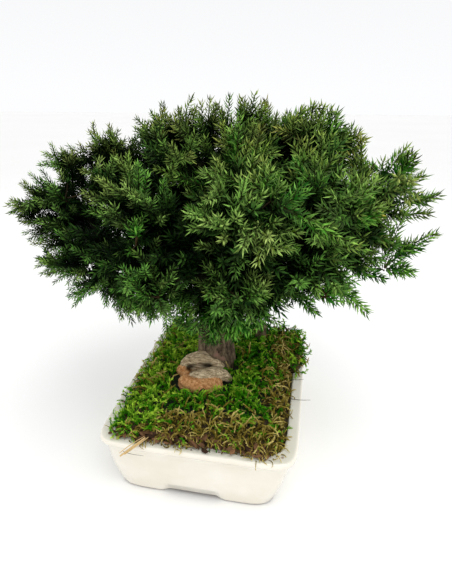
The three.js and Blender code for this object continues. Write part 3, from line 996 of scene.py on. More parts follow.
def strewn(kinds, finish, seed, apart, lean, small, large, sink):
    """The tree that strews shapes over a ground, each turned and leant by chance."""
    tree, ground = geometry_tree("strewn_" + kinds.name)
    spots = spots_on(tree, ground, apart, seed)
    fills = {"Geometry": spots.outputs["Points"], "Selection": clear_of_burl(tree)}
    rooted = put(tree, "GeometryNodeSeparateGeometry", fills)
    fills = {0: spots.outputs["Normal"], 3: -sink * MM}
    down = put(tree, "ShaderNodeVectorMath", fills, operation="SCALE")
    sunk = put(tree, "GeometryNodeSetPosition", {"Geometry": rooted, "Offset": down})
    full_turn = 2 * math.pi
    rotation = turned(tree, spots.outputs["Rotation"], (0, 0, 1), chance(tree, seed + 1, 0, full_turn))
    rotation = turned(tree, rotation, (1, 0, 0), chance(tree, seed + 2, 0.1, lean))
    rotation = turned(tree, rotation, (0, 0, 1), chance(tree, seed + 3, 0, full_turn))
    size = calc(tree, "MULTIPLY", chance(tree, seed + 4, small, large), kept(tree, "grown"))
    fills = {"Collection": kinds, "Separate Children": True, "Reset Children": True}
    shapes = put(tree, "GeometryNodeCollectionInfo", fills)
    fills = {"Min": 0, "Max": len(kinds.objects) - 1, "Seed": seed}
    which = put(tree, "FunctionNodeRandomValue", fills, data_type="INT")
    fills = {
        "Points": sunk,
        "Instance": shapes,
        "Pick Instance": True,
        "Instance Index": which,
        "Rotation": rotation,
        "Scale": size,
    }
    laid = put(tree, "GeometryNodeInstanceOnPoints", fills)
    laid = stored(tree, laid, "tint", chance(tree, seed + 5, 0, 1), "INSTANCE")
    return closed_tree(tree, laid, finish)


def squared_reach(places, squareness):
    """How far out places lie from the middle of a squared outline, with the outline at 1."""
    share = np.abs(places[:, :2]) / (POT_WIDTH / 2, POT_LENGTH / 2)
    return (share**squareness).sum(axis=1) ** (1 / squareness)


def rim_offsets(places):
    """How far places lie inside the pot's outline, about, in millimetres."""
    return (1 - squared_reach(places, POT_SQUARENESS)) * POT_WIDTH / 2


def ground_copy(node_name, name, keeps=None):
    """A copy of a moss carpet, drawn out to the rim, with only the faces that pass the test."""
    piece = merged_copy(node_name, name)
    if keeps:
        trim_faces(piece, keeps)
    places = vertex_places(piece)
    carpet = squared_reach(places, CARPET_SQUARENESS)
    rim = np.maximum(squared_reach(places, POT_SQUARENESS), 0.01)
    drawn = np.clip((carpet - 0.6) / 0.2, 0, 1) * (carpet / rim - 1 + 0.02)
    places[:, :2] *= 1 + drawn[:, None]
    offsets = rim_offsets(places)
    near_wall = np.maximum((-places[:, 0] - 40) / 20, (-places[:, 1] - 70) / 12)
    near_rim = np.clip((15 - offsets) / 5, 0, 1)
    places[:, 2] += CARPET_BANK * near_rim * np.clip(near_wall, 0, 1)
    set_vertex_places(piece, places)
    keep_number(piece, "grown", np.interp(offsets, (RIM_WIDTH, RIM_WIDTH + 9), (SMALL_AT_RIM, 1)))
    return piece


def rim_cushion():
    """The roll of moss that creeps over the back of the rim, thinner towards its ends."""
    sides = 240
    angles = pot_angles(sides)
    run = np.arange(-CUSHION_LEFT, CUSHION_RIGHT + 1)
    section = [(13, 47.6), (11.4, 51.6), (7.5, 54.0), (3.4, 53.4), (1.0, 50.9), (1.6, 49.6), (8, 49.0)]
    middle = np.array([7.5, 50.2])
    points = []
    for step, index in enumerate(run):
        share = step / (len(run) - 1)
        angle = angles[index % sides]
        size = min(1, 7 * share, 7 * (1 - share)) ** 0.5
        size *= 0.85 + 0.3 * noise.noise(Vector((index * 0.22, 3, 1)))
        for corner in section:
            offset, height = middle + (np.array(corner) - middle) * max(size, 0.05)
            points.append((*pot_plan(POT_WIDTH / 2 - offset, angle), height))
    around = len(section)
    faces = ring_faces(len(run), around)
    faces.append(tuple(range(around)))
    faces.append(tuple(range(len(points) - around, len(points)))[::-1])
    cushion = smooth(outward(mesh_object("moss_rim_cushion", points, faces)))
    keep_number(cushion, "grown", [1.0] * len(points))
    return cushion


def cushion_copy(cushion, name, keeps=None):
    """A copy of the rim cushion with only the faces that pass the test."""
    part = in_scene(cushion.copy())
    part.data = cushion.data.copy()
    part.name = name
    if keeps:
        trim_faces(part, keeps)
    return part


def left_front(place):
    """The part of the dry carpet at the left front that fresh moss has crept over."""
    return place[0] < -26 and place[1] > -86


def dry_bed(place):
    """The rest of the dry carpet, without the strip along the front wall."""
    return not left_front(place) and place[1] > -81.5


def front_strip(place):
    """The dry carpet's strip along the front wall, where flakes lie."""
    return place[1] < -77


def front_edge(place):
    """The dry carpet's last row of strands before the front wall."""
    return -80.5 < place[1] < -73


def at_sides(place):
    """The strips of fresh moss along the rim where dry strands lie, broader at the right."""
    return rim_offsets(np.array([place]))[0] < (24 if place[0] > 0 else 13)


def right_half(place):
    """The right part of the roll on the back of the rim."""
    return place[0] > 34


# How shapes are strewn: distance apart, most lean, smallest and largest size, and how deep they sink
DENSE = {"apart": 2.8, "lean": 1.1, "small": 0.85, "large": 1.45, "sink": 0.9}
LOOSE = dict(DENSE, apart=7, lean=1.3)
MATTED = dict(DENSE, apart=2.35, lean=1.25, large=1.2)
TANGLED = dict(DENSE, apart=3.4, small=0.6, large=1)
FLAKES = {"apart": 2.8, "lean": 0.8, "small": 0.6, "large": 1.5, "sink": -1.6}
EDGE = {"apart": 3.0, "lean": 1.2, "small": 0.7, "large": 0.95, "sink": -0.8}

# The layers of moss: name, ground, which part of the ground, shapes, colours and how they are strewn
MOSS_LAYERS = [
    ("moss_fronds", "moss_fresh", None, "fronds", "green", DENSE),
    ("moss_strands", "moss_dry", dry_bed, "dry_strands", "dry", MATTED),
    ("moss_rim_fronds", "cushion", None, "fronds", "green", DENSE),
    ("moss_rim_strands", "cushion", right_half, "dry_strands", "dry", TANGLED),
    ("moss_fronds_at_left_front", "moss_dry", left_front, "fronds", "green", DENSE),
    ("moss_fronds_among_dry", "moss_dry", None, "fronds", "green", dict(LOOSE, apart=6)),
    ("moss_strands_among_green", "moss_fresh", None, "dry_strands", "dry", LOOSE),
    ("moss_crumbs", "moss_dry", None, "crumbs", "brown", dict(LOOSE, apart=4)),
    ("moss_strands_at_sides", "moss_fresh", at_sides, "dry_strands", "dry", dict(DENSE, apart=3.6)),
    ("moss_flakes_in_front", "moss_dry", front_strip, "flakes", "brown", FLAKES),
    ("moss_strands_in_front", "moss_dry", front_edge, "dry_strands", "dry", EDGE),
]


def moss_colours():
    """The materials of the moss and of the flakes in it."""
    fresh = colour(4, 24, 0), colour(56, 132, 2), colour(176, 212, 64)
    dry = colour(44, 36, 6), colour(132, 116, 42), colour(210, 192, 118)
    bark = colour(50, 34, 22), colour(134, 98, 68), colour(212, 182, 142)
    return {
        "green": moss_leaf("moss_green_leaf", *fresh, brighter_left=0.12),
        "dry": moss_leaf("moss_dry_leaf", *dry),
        "brown": moss_leaf("bark_crumbs", *bark),
    }


def make_moss():
    """Green fronds, dry curled strands and flakes of bark over the carpets and the roll on the rim."""
    brown_bed = matted_ground("moss_bed_brown", colour(26, 18, 6), colour(86, 68, 32))
    repaint("moss_fresh", matted_ground("moss_bed_green", colour(4, 12, 0), colour(26, 44, 6)))
    repaint("moss_dry", brown_bed)
    colours = moss_colours()
    shapes = moss_kits(np.random.default_rng(MOSS_SEED))
    cushion = rim_cushion()
    for seed, (name, ground, keeps, kind, look, values) in enumerate(MOSS_LAYERS, 1):
        if ground == "cushion":
            piece = cushion_copy(cushion, name, keeps)
        else:
            piece = ground_copy(ground, name, keeps)
        grow(piece, strewn(shapes[kind], colours[look], seed, **values))
        finish_piece(piece, "moss_green" if look == "green" else "moss_brown")
    cushion.data.materials.append(brown_bed)
    finish_piece(cushion, "moss_brown")


# The dead wood


def knotty_tube(line, radii, rng, sides=44, steps=52):
    """A swelling roll of old wood with ridges that run along it."""
    line = np.asarray(line, float)
    shares = np.linspace(0, len(line) - 1, steps + 1)
    path = np.column_stack([np.interp(shares, range(len(line)), line[:, axis]) for axis in range(3)])
    for _ in range(6):
        path[1:-1] = (path[:-2] + path[1:-1] * 2 + path[2:]) / 4
    girth = np.interp(shares, range(len(line)), radii)
    ends = np.clip(np.minimum(np.arange(steps + 1), steps - np.arange(steps + 1)) / 5, 0, 1)
    girth = girth * np.sqrt(1 - (1 - ends) ** 2 * 0.93)
    offset = rng.uniform(0, 50, 3)
    points, faces = tube(path, girth, sides)
    for index, point in enumerate(points):
        step, turn = divmod(index, sides)
        angle = 2 * math.pi * turn / sides
        around = np.array([math.cos(angle), math.sin(angle)])
        streak = noise.noise(Vector((*(around * 2.6 + offset[:2]), step / steps * 2.2)))
        fine = noise.noise(Vector((*(around * 7.5 + offset[1:]), step / steps * 4.5)))
        swell = KNOT_DEPTH * math.sin(3 * angle + 5 * step / steps) * 0.5
        factor = 1 + 0.22 * streak + 0.1 * fine + swell
        points[index] = path[step] + (point - path[step]) * factor
    return points, faces


# Rolls of old wood: a line in the pot's frame, its radii and how bare of bark it is
BURL_ROLLS = [
    ([(-29, -2, 60), (-22, 0, 65), (-11, 1, 68), (1, 0, 65), (7, 0, 60)], [4.5, 6.5, 7, 6.2, 4], 0),
    ([(-18, -17, 61), (-7, -18, 65), (2, -13, 65), (10, -11, 62), (17, -11, 58)], [3, 4.4, 5, 4.6, 2.2], 0),
    ([(-25, -16, 58), (-17, -22, 57), (-8, -25, 56), (1, -21, 56), (10, -16, 57)], [5.5, 8, 8.6, 7, 4.4], 1),
    ([(-31, -3, 59), (-26, -6, 58), (-20, -10, 57)], [4.4, 5.4, 4.4], 0.85),
    ([(-23, -6, 53), (0, -7, 53)], [7, 7], 0),
]
BURL_ROOT = [([(-5, -26, 57), (-3, -32, 58), (1, -39, 56)], [3.2, 3.2, 2.0], 0)]
STUB = [([(32, 66, 44), (31, 66, 54), (32, 65, 62), (34, 65, 73)], [5.4, 5.6, 5, 3.4], 0.5)]

# The line of the slot between the burl's rolls, along which shade is painted
SLOT_SHADE_LINE = [(-21, -7, 63), (-14, -9.5, 65.5), (-4, -6.5, 66.5)]


def rolled_wood(name, rolls, seed, grid):
    """Rolls of wood grown into one closed piece that keeps how bare each roll is."""
    rng = np.random.default_rng(seed)
    tubes = [knotty_tube(line, radii, rng) for line, radii, _ in rolls]
    points, faces = bundle(tubes)
    bareness = [bare for (_, _, bare), (more, _) in zip(rolls, tubes) for _ in more]
    piece = grown_together(mesh_object(name, points, faces), grid)
    nearby = Places(points, bareness)
    keep_number(piece, "bare", [nearby.nearest(place)[1] for place in vertex_places(piece)])
    return smooth(piece)


def distance_to_line(place, line):
    """How far a place is from the nearest part of a line through points."""
    nearest = 1e9
    for start, end in zip(line[:-1], line[1:]):
        start, end = np.array(start, float), np.array(end, float)
        share = np.clip((place - start) @ (end - start) / ((end - start) @ (end - start)), 0, 1)
        nearest = min(nearest, np.linalg.norm(place - start - (end - start) * share))
    return nearest


def make_dead_wood():
    """The weathered burl with its dark little root, and the broken stub, in place of their CAD solids."""
    burl = rolled_wood("weathered_burl", BURL_ROLLS, 3, 0.9)
    # Points near the slot's line are marked for its painted shade.
    depth = np.array([distance_to_line(place, SLOT_SHADE_LINE) for place in vertex_places(burl)])
    keep_number(burl, "slot", np.clip((4.2 - depth) / 2.4, 0, 1))
    burl.data.materials.append(weathered_wood())
    finish_piece(burl, "dead_wood", "root_burl")
    root = rolled_wood("burl_root", BURL_ROOT, 4, 0.7)
    # The root's bark is painted darker by its light level.
    root.data.materials.append(rough_bark("root_bark", 0.35))
    finish_piece(root, "dead_wood")
    stub = rolled_wood("broken_stub", STUB, 8, 0.8)
    # The stub's bark is painted a little lighter by its light level.
    stub.data.materials.append(rough_bark("stub_bark", 1.1))
    finish_piece(stub, "dead_wood", "root_stub")


# The straw, the soil and the drain screens


def grass_blade(line, girth):
    """One flattened blade of dry grass that bends over the rim."""
    steps, sides = 14, 7
    path = bent(*np.array(line, float), steps)
    rim_top = np.interp(path[:, 1], [-101, -96, -93, -80], [46.5, 50.8, 51, 53])
    path[:, 2] = np.maximum(path[:, 2], rim_top)
    radii = girth * np.interp(np.linspace(0, 1, steps + 1), [0, 0.5, 1], [0.55, 1, 0.7])
    points, faces = tube(path, radii, sides)
    middles = np.repeat(path, sides, axis=0)
    return middles + (np.array(points) - middles) * (1, 1, 0.55), faces


def make_straw():
    """A blade of dry grass over the near rim, split in three."""
    blades = [
        ([(-32, -85, 55), (-38, -92, 52.6), (-45, -100.2, 50)], 0.95),
        ([(-30, -84, 55), (-36, -92, 53), (-42, -99, 51)], 0.5),
        ([(-33, -84, 55), (-41, -92, 53.4), (-46, -98.6, 51)], 0.4),
    ]
    parts = [grass_blade(line, girth) for line, girth in blades]
    straw = smooth(outward(mesh_object("straw_blade", *bundle(parts))))
    tones = colour(206, 176, 124), colour(226, 200, 150), colour(242, 224, 184)
    straw.data.materials.append(moss_leaf("straw_blade", *tones))
    finish_piece(straw, "straw_yellow", "straw")


def make_hairs():
    """Hair-thin dark roots that lie over the rim, and one curled blade at the back."""
    hairs = [
        ([(-44, -96.6, 51), (-37, -98.4, 50.9), (-29, -97.4, 50.7)], 0.22),
        ([(66, -21, 54), (74, -19, 51.8), (82, -14.4, 50)], 0.28),
        ([(64, 4, 55), (70, 6, 53), (75.6, 12, 50.8)], 0.28),
        ([(62, 22, 56), (72, 27, 56), (80, 38, 54)], 0.34),
        ([(60, 30, 56), (72, 36, 59), (81, 48, 58)], 0.34),
    ]
    parts = []
    for line, girth in hairs:
        parts.append(tube(bent(*np.array(line, float), 10), girth * np.linspace(1, 0.5, 11), 4))
    turns = np.linspace(0, 5.2, 15)
    curl = [(52.5 + 4.4 * math.cos(t), 76.9 + 1.6 * math.sin(t), 60 + 4 * math.sin(t)) for t in turns]
    parts.append(tube(curl, 0.7 * np.linspace(1, 0.4, 15), 5))
    roots = outward(mesh_object("hair_roots", *bundle(parts)))
    tones = colour(52, 42, 28), colour(84, 70, 48), colour(120, 104, 74)
    roots.data.materials.append(moss_leaf("dark_hair", *tones))
    finish_piece(roots, "moss_brown")


def paint_inside():
    """The materials of the soil and of the plastic screens over the drain holes."""
    repaint("soil", matted_ground("dark_soil", colour(30, 20, 12), colour(88, 66, 44)))
    plastic = screen_plastic()
    for number in (1, 2):
        repaint(f"drain_screen_{number}", plastic)


# The trunk


def bark_relief(point):
    """Height of the bark at a point, in millimetres: long upright ridges and fine crumbs."""
    x, y, z = point
    ridges = noise.noise(Vector((x / 3.4, y / 3.4, z / 15)))
    plates = noise.noise(Vector((x / 1.7, y / 1.7, z / 5)))
    return 0.75 * ridges + 0.35 * plates


def make_trunk():
    """The trunk and its limbs, with the CAD solid's own form and rough bark."""
    trunk = grown_together(merged_copy("trunk", "trunk_and_limbs"), BARK_GRID)
    places = vertex_places(trunk)
    stout = np.clip((120 - places[:, 2]) / 60, 0.25, 1)
    lift = np.array([bark_relief(place) for place in places]) * stout
    set_vertex_places(trunk, places + vertex_normals(trunk) * lift[:, None])
    smooth(trunk)
    # The limbs inside the crown get painted shade above 112 mm.
    trunk.data.materials.append(rough_bark("juniper_bark", 0.92, shaded_above=112))
    finish_piece(trunk, "bark", "trunk")


# The crown's needles and shoots


class Strands:
    """Chains of points that grow leaves, with one number of each kind kept at each point."""

    KINDS = ("girth", "leafy", "size", "hue", "sun", "rust", "dry", "daylight")

    def __init__(self):
        self.points = []
        self.edges = []
        self.values = {kind: [] for kind in self.KINDS}

    def add(self, path, **values):
        """Adds one chain. A value is one number for the chain or one for each of its points."""
        first = len(self.points)
        self.points.extend(path)
        self.edges.extend((first + step, first + step + 1) for step in range(len(path) - 1))
        for kind in self.KINDS:
            given = values.get(kind, 0.0)
            self.values[kind].extend(given if np.ndim(given) else [given] * len(path))

    def made(self, name):
        """The chains as a mesh of edges."""
        piece = mesh_object(name, self.points, edges=self.edges)
        for kind, numbers in self.values.items():
            keep_number(piece, kind, numbers)
        return piece


def needle_blade():
    """One needle, pointing up from the origin: a narrow pointed blade, ridged above and bowed."""
    half, shoulder = NEEDLE_WIDTH / 2, NEEDLE_LENGTH * 0.4
    sides = [(half, -NEEDLE_DEPTH, shoulder), (-half, -NEEDLE_DEPTH, shoulder)]
    needle = in_scene(small_shape("needle", [(0, 0, 0), *sides, (0, 0, NEEDLE_LENGTH)], BLADE_FACES))
    keep_number(needle, "upper", [1, 1, 0, 0], "FACE")
    # How far up the needle each point lies, for its painted shade.
    keep_number(needle, "rise", [0, 0.5, 0.5, 1])
    return outward(needle)


def twig_wood(tree, chains):
    """The three-sided wood of the shoots, as thick as each chain says."""
    ring = put(tree, "GeometryNodeCurvePrimitiveCircle", {"Resolution": 3, "Radius": MM})
    coarse = put(tree, "GeometryNodeResampleCurve", {"Curve": chains, "Count": 3})
    fills = {"Curve": coarse, "Profile Curve": ring, "Scale": kept(tree, "girth"), "Fill Caps": True}
    return stored(tree, put(tree, "GeometryNodeCurveToMesh", fills), "stem", 1.0)


def whorls(tree, rows, needle, seed):
    """Three needles at each point of the leafy rows, leaning out less towards the tip."""
    spots = put(tree, "GeometryNodeCurveToPoints", {"Curve": rows}, mode="EVALUATED").node
    fills = {"Geometry": spots.outputs["Points"], "Selection": kept(tree, "leafy")}
    leafy = put(tree, "GeometryNodeSeparateGeometry", fills)
    fills = {"Geometry": leafy, "Amount": 3}
    trio = put(tree, "GeometryNodeDuplicateElements", fills, domain="POINT").node
    around = calc(tree, "MULTIPLY", kept(tree, "order"), math.radians(60))
    third = trio.outputs["Duplicate Index"]
    around = calc(tree, "MULTIPLY_ADD", third, math.radians(120), around)
    around = calc(tree, "ADD", around, chance(tree, seed + 1, -0.3, 0.3))
    closing = calc(tree, "POWER", kept(tree, "along"), 3.0)
    lean = spread(tree, closing, 0, 1, NEEDLE_LEAN_AT_FOOT, NEEDLE_LEAN_AT_TIP)
    lean = calc(tree, "ADD", lean, chance(tree, seed + 2, -0.2, 0.2))
    rotation = turned(tree, spots.outputs["Rotation"], (0, 0, 1), around)
    rotation = turned(tree, rotation, (1, 0, 0), lean)
    size = spread(tree, closing, 0, 1, 1.0, 0.85)
    size = calc(tree, "MULTIPLY", size, chance(tree, seed + 3, 0.78, 1.12))
    size = calc(tree, "MULTIPLY", size, kept(tree, "size"))
    blade = put(tree, "GeometryNodeObjectInfo", {"Object": needle}, out="Geometry")
    fills = {"Points": trio.outputs["Geometry"], "Instance": blade, "Rotation": rotation, "Scale": size}
    leaves = put(tree, "GeometryNodeInstanceOnPoints", fills)
    return stored(tree, leaves, "needle_tint", chance(tree, seed + 4, 0, 1), "INSTANCE")


def leafy_shoots(needle, leaf, seed):
    """The tree that turns chains into woody shoots with whorls of three needles."""
    tree, chains = geometry_tree("leafy_shoots")
    chains = put(tree, "GeometryNodeMeshToCurve", {"Mesh": chains})
    chains = put(tree, "GeometryNodeCurveSplineType", {"Curve": chains}, spline_type="CATMULL_ROM")
    step = calc(tree, "MULTIPLY", kept(tree, "size"), WHORL_STEP * MM)
    rows = put(tree, "GeometryNodeResampleCurve", {"Curve": chains, 3: step}, mode="LENGTH")
    along = put(tree, "GeometryNodeSplineParameter", out="Factor")
    order = put(tree, "GeometryNodeSplineParameter", out="Index")
    rows = stored(tree, stored(tree, rows, "along", along), "order", order)
    both = tree.nodes.new("GeometryNodeJoinGeometry")
    tree.links.new(whorls(tree, rows, needle, seed), both.inputs[0])
    tree.links.new(twig_wood(tree, chains), both.inputs[0])
    return closed_tree(tree, both.outputs[0], leaf)


# The crown's form


def node_points(name):
    """A CAD node's points in the pot's frame."""
    return to_pot([vertex.co for vertex in frame["nodes"][name].data.vertices])


def upright_turn(point, angle):
    """A point turned about the upright axis."""
    c, s = math.cos(angle), math.sin(angle)
    x, y, z = point
    return np.array([x * c - y * s, x * s + y * c, z])


def from_crown(point):
    """A point of the crown, which is turned to face the camera, in the pot's frame."""
    return upright_turn(point, CROWN_TURN)


def crown_place(point):
    """A point of the pot's frame turned back into the crown's, which faces the camera."""
    return upright_turn(point, -CROWN_TURN)


def open_air(place):
    """Whether a place lies past the crown's right end, in its notch or low beside the trunk."""
    x, y, z = crown_place(place)
    notch = x > 104 and z > 229
    beside_trunk = x > 24 and y > -24 and z < 130
    return x > RIGHT_END or notch or beside_trunk


def crown_mounds():
    """The mounds' middles in the pot's frame, with their radii."""
    return [(from_crown(mound[:3]), mound[3]) for mound in MOUNDS]


def skin_tips():
    """Places over the humps of the mounds' skin, clear of the other mounds, and the ways they face."""
    mounds = crown_mounds()
    found = []
    for middle, radius in mounds:
        directions = even_directions(int(radius**2 / CANDIDATE_AREA))
        tips = middle + directions * radius * SKIN_SHARE
        lowest = -0.95 if crown_place(middle)[1] < -20 else -0.75
        free = directions[:, 2] > lowest
        for other, reach in mounds:
            if other is not middle:
                free &= np.linalg.norm(tips - other, axis=1) > reach * SKIN_SHARE * 0.95
        for tip, way in zip(tips[free], directions[free]):
            hump = noise.noise(Vector(tip / HUMP_WIDTH))
            if hump > DEEPEST_DIP:
                found.append((tip + way * hump * HUMP_HEIGHT, way))
    return found


def tuft_tips():
    """Where tufts end over the crown's skin, spread evenly, and which way they face."""
    rng = np.random.default_rng(SKIN_SEED)
    taken = np.empty((0, 3))
    chosen = []
    candidates = skin_tips()
    for index in rng.permutation(len(candidates)):
        tip, way = candidates[index]
        apart = SKIN_SPACING if way[2] > -0.35 else UNDERSIDE_SPACING
        if len(taken) and np.linalg.norm(taken - tip, axis=1).min() < apart:
            continue
        taken = np.vstack([taken, tip])
        chosen.append((tip, way))
    return chosen


def inside_crown(points):
    """Which points lie in a mound or in the rounded body between the mounds."""
    turned_back = np.array([crown_place(point) for point in points])
    inside = np.linalg.norm((turned_back - CROWN_MIDDLE) / np.array(CROWN_HALF), axis=1) < 1
    for middle, radius in crown_mounds():
        inside |= np.linalg.norm(points - middle, axis=1) < radius * 0.8
    return inside


def hollows(leaves):
    """Places inside the crown that no leaf is near to, with the ways out of it."""
    half = np.array(CROWN_HALF) + 24
    axes = [np.arange(-size, size, HOLLOW_GRID) for size in half]
    grid = np.stack(np.meshgrid(*axes, indexing="ij"), axis=-1).reshape(-1, 3)
    grid = grid + np.array(CROWN_MIDDLE)
    grid = np.array([from_crown(point) for point in grid])
    found = []
    middle = from_crown(CROWN_MIDDLE)
    for place in grid[inside_crown(grid)]:
        near, _ = leaves.nearest(place)
        if not open_air(place) and np.linalg.norm(near - place) > HOLLOW_REACH:
            found.append((place, unit((place - middle) * (1, 1, 1.6))))
    return found


def sunlight(tip):
    """How yellow the tips are at a place: most in the front middle of the crown."""
    x, y, z = crown_place(tip)
    middle = math.exp(-(((x - 10) / 50) ** 2 + ((z - 206) / 30) ** 2)) if y < 0 else 0
    left_top = math.exp(-(((x + 82) / 24) ** 2 + ((z - 234) / 18) ** 2))
    patch = noise.noise(Vector((x / 22, y / 22, z / 22)))
    return float(np.clip(0.04 + 0.5 * max(middle, left_top) + 0.5 * patch, 0, 0.8))


def browning(tip):
    """How brown the tips are at a place: most at the crown's right end, on its top and far left."""
    x, y, z = crown_place(tip)
    right = np.clip((x - 60) / 60, 0, 1) * np.clip((z - 165) / 25, 0, 1)
    top = np.clip((z - 226) / 26, 0, 1)
    left = np.clip((-112 - x) / 20, 0, 1)
    patch = noise.noise(Vector((x / 17 + 40, y / 17, z / 17)))
    return float(np.clip(0.02 + 0.45 * max(right, top, left) + 0.5 * patch, 0, 0.7))


def needle_size(tip):
    """The needles' size at a place: small in the left of the crown, long and coarse at its right."""
    x, _, z = crown_place(tip)
    hanging = 0.12 * np.clip((150 - z) / 30, 0, 1)
    return float(np.clip(0.86 + x / CROWN_REACH * 0.24 + hanging, 0.64, 1.12))


# The crown's tufts


def side_shoot(strands, start, heading, length, rng, **values):
    """One short shoot that leaves the leader at an angle and bends forward."""
    away = unit(heading * math.cos(0.7) + across_to(heading, rng) * math.sin(0.7))
    middle = start + away * length * 0.5
    end = start + away * length * 0.8 + unit(heading + UP * 0.3) * length * 0.3
    path = bent(start, middle, end, 4)
    strands.add(path, girth=np.linspace(0.36, 0.2, 5), leafy=1, **values)


def tuft(strands, hub, tip, way, rng, leafy_length, shoots, reach, size=1.0, dry=0.0, inner=False):
    """One branchlet from a twig's end to its tip: a plume of needles with shorter ones beside it."""
    length = max(np.linalg.norm(tip - hub), 1)
    pull = across_to(way, rng) * 0.1 - UP * 0.04
    middle = (hub + tip - way * length * 0.6) / 2 + pull * length
    path = bent(hub, middle, tip, TUFT_STEPS)
    values = {
        "hue": float(np.clip(rng.normal(0.45, 0.16), 0, 1)),
        "sun": 0.0 if inner else sunlight(tip) * rng.uniform(0.3, 1.1),
        "rust": 0.0 if inner else browning(tip) * rng.uniform(0.4, 1.2),
        "dry": dry,
        "size": size * needle_size(tip),
        "daylight": INNER_DAYLIGHT if inner else 1.0,
    }
    leafy_share = min(leafy_length / length, 0.9)
    first = int(round((1 - leafy_share) * TUFT_STEPS))
    if first > 0:
        bare = path[: first + 1]
        strands.add(bare, girth=np.linspace(0.9, 0.5, len(bare)), leafy=0, **values)
    leader = path[first:]
    strands.add(leader, girth=np.linspace(0.5, 0.26, len(leader)), leafy=1, **values)
    for index in range(shoots):
        outward_share = 0.06 + 0.64 * (index + rng.random() * 0.6) / shoots
        place = (1 - leafy_share + leafy_share * outward_share) * TUFT_STEPS
        start, heading = along_path(path, place)
        grown = reach * (1 - 0.4 * outward_share) * rng.uniform(0.8, 1.15)
        shade = dict(values, hue=float(np.clip(values["hue"] + rng.normal(0, 0.12), 0, 1)))
        side_shoot(strands, start, heading, grown, rng, **shade)


def skin_tufts(grow_tuft, rng):
    """Tufts all over the crown's skin, longer towards its right."""
    for tip, way in tuft_tips():
        if open_air(tip):
            continue
        side = crown_place(tip)[0] / CROWN_REACH
        shoots = 4 if side < -0.4 else 3
        way = unit(way + UP * 0.3 + rng.normal(size=3) * 0.4)
        grow_tuft(tip, way, leafy_length=LEAFY_LENGTH + 5 * side, shoots=shoots, reach=11.5 + 3 * side)


def outline_tufts(grow_tuft, rng):
    """The plumes of the outline: lone ones low at the right, threes of them everywhere else."""
    for x, y, z, across, up in OUTLINE_PLUMES:
        way = unit(from_crown((across, 0, up)))
        tip = from_crown((x, y, z)) - way * TIP_NEEDLES
        if x > LONE_RIGHT_OF and z < LONE_BELOW:
            grow_tuft(tip, way, **LONE_PLUME)
            grow_tuft(tip - way * 2, way, **LONE_PLUME_TIP)
            continue
        grow_tuft(tip, way, **CROWDED_PLUME)
        beside = unit(from_crown((up, 0, -across)))
        for side in (-1, 1):
            place = tip - way * rng.uniform(0, 6) + beside * side * rng.uniform(4.5, 8)
            turned_out = unit(way + beside * side * 0.35 + rng.normal(size=3) * 0.2)
            grow_tuft(place, turned_out, **PLUME_BESIDE)


def inner_tufts(grow_tuft, rng, chains):
    """Tufts in the hollows inside the crown."""
    empty = hollows(Places(leaf_places(chains)))
    filled = np.empty((0, 3))
    for index in rng.permutation(len(empty)):
        place, way = empty[index]
        if len(filled) and np.linalg.norm(filled - place, axis=1).min() < FILLER_SPACING:
            continue
        filled = np.vstack([filled, place])
        grow_tuft(place, way, **FILLER)


def leaf_places(chains):
    """Every point of the crown that bears leaves."""
    found = []
    for strands in chains.values():
        leafy = np.array(strands.values["leafy"]) > 0
        if leafy.any():
            found.append(np.array(strands.points)[leafy])
    return np.vstack(found)


def sky_share(points, leaves):
    """How much open sky each point sees through the leaves, from 0 in the dark to 1 outside."""
    low = leaves.min(axis=0) - DAYLIGHT_GRID * 1.5
    cells = ((leaves - low) / DAYLIGHT_GRID).astype(int)
    size = cells.max(axis=0) + 2
    filled = np.zeros(size)
    np.add.at(filled, tuple(cells.T), 1)
    ways = [way for way in even_directions(SKY_WAYS) if way[2] > -0.8]
    seen = np.zeros(len(points))
    for way in ways:
        blocked = np.zeros(len(points))
        for step in range(1, SKY_STEPS + 1):
            cell = ((points + way * DAYLIGHT_GRID * (step + 0.2) - low) / DAYLIGHT_GRID).astype(int)
            inside = np.all((cell >= 0) & (cell < size), axis=1)
            cell[~inside] = 0
            blocked += filled[tuple(cell.T)] * inside
        seen += np.exp(-LEAF_DIMMING * blocked)
    return seen / len(ways)


def let_in_daylight(chains):
    """Keeps at every point of the crown how much sky it sees, scaled to the crown's own range, for the
    needles' painted shade.

    The right and the underside get a little more painted light, and the left middle a painted shadow."""
    leaves = leaf_places(chains)
    shares = {name: sky_share(np.array(one.points), leaves) for name, one in chains.items() if one.points}
    every_share = np.concatenate(list(shares.values()))
    dark, bright = np.percentile(every_share, DARK_AND_BRIGHT_PERCENTILES)
    for name, share in shares.items():
        places = np.array([crown_place(point) for point in chains[name].points])
        # Painted light from the right and from below, and a painted shadow over the left middle.
        from_side = 0.12 * np.clip(places[:, 0] / CROWN_REACH, -1, 1)
        from_below = 0.5 * np.clip((184 - places[:, 2]) / 44, 0, 1)
        shadow = 0.26 * np.exp(-(((places[:, 0] + 62) / 40) ** 2) - ((places[:, 2] - 200) / 22) ** 2)
        light = (share - dark) / (bright - dark) * (1 + from_side + from_below - shadow)
        light = light + 0.3 * from_below
        chains[name].values["daylight"] = list(np.clip(light * chains[name].values["daylight"], 0, 1))


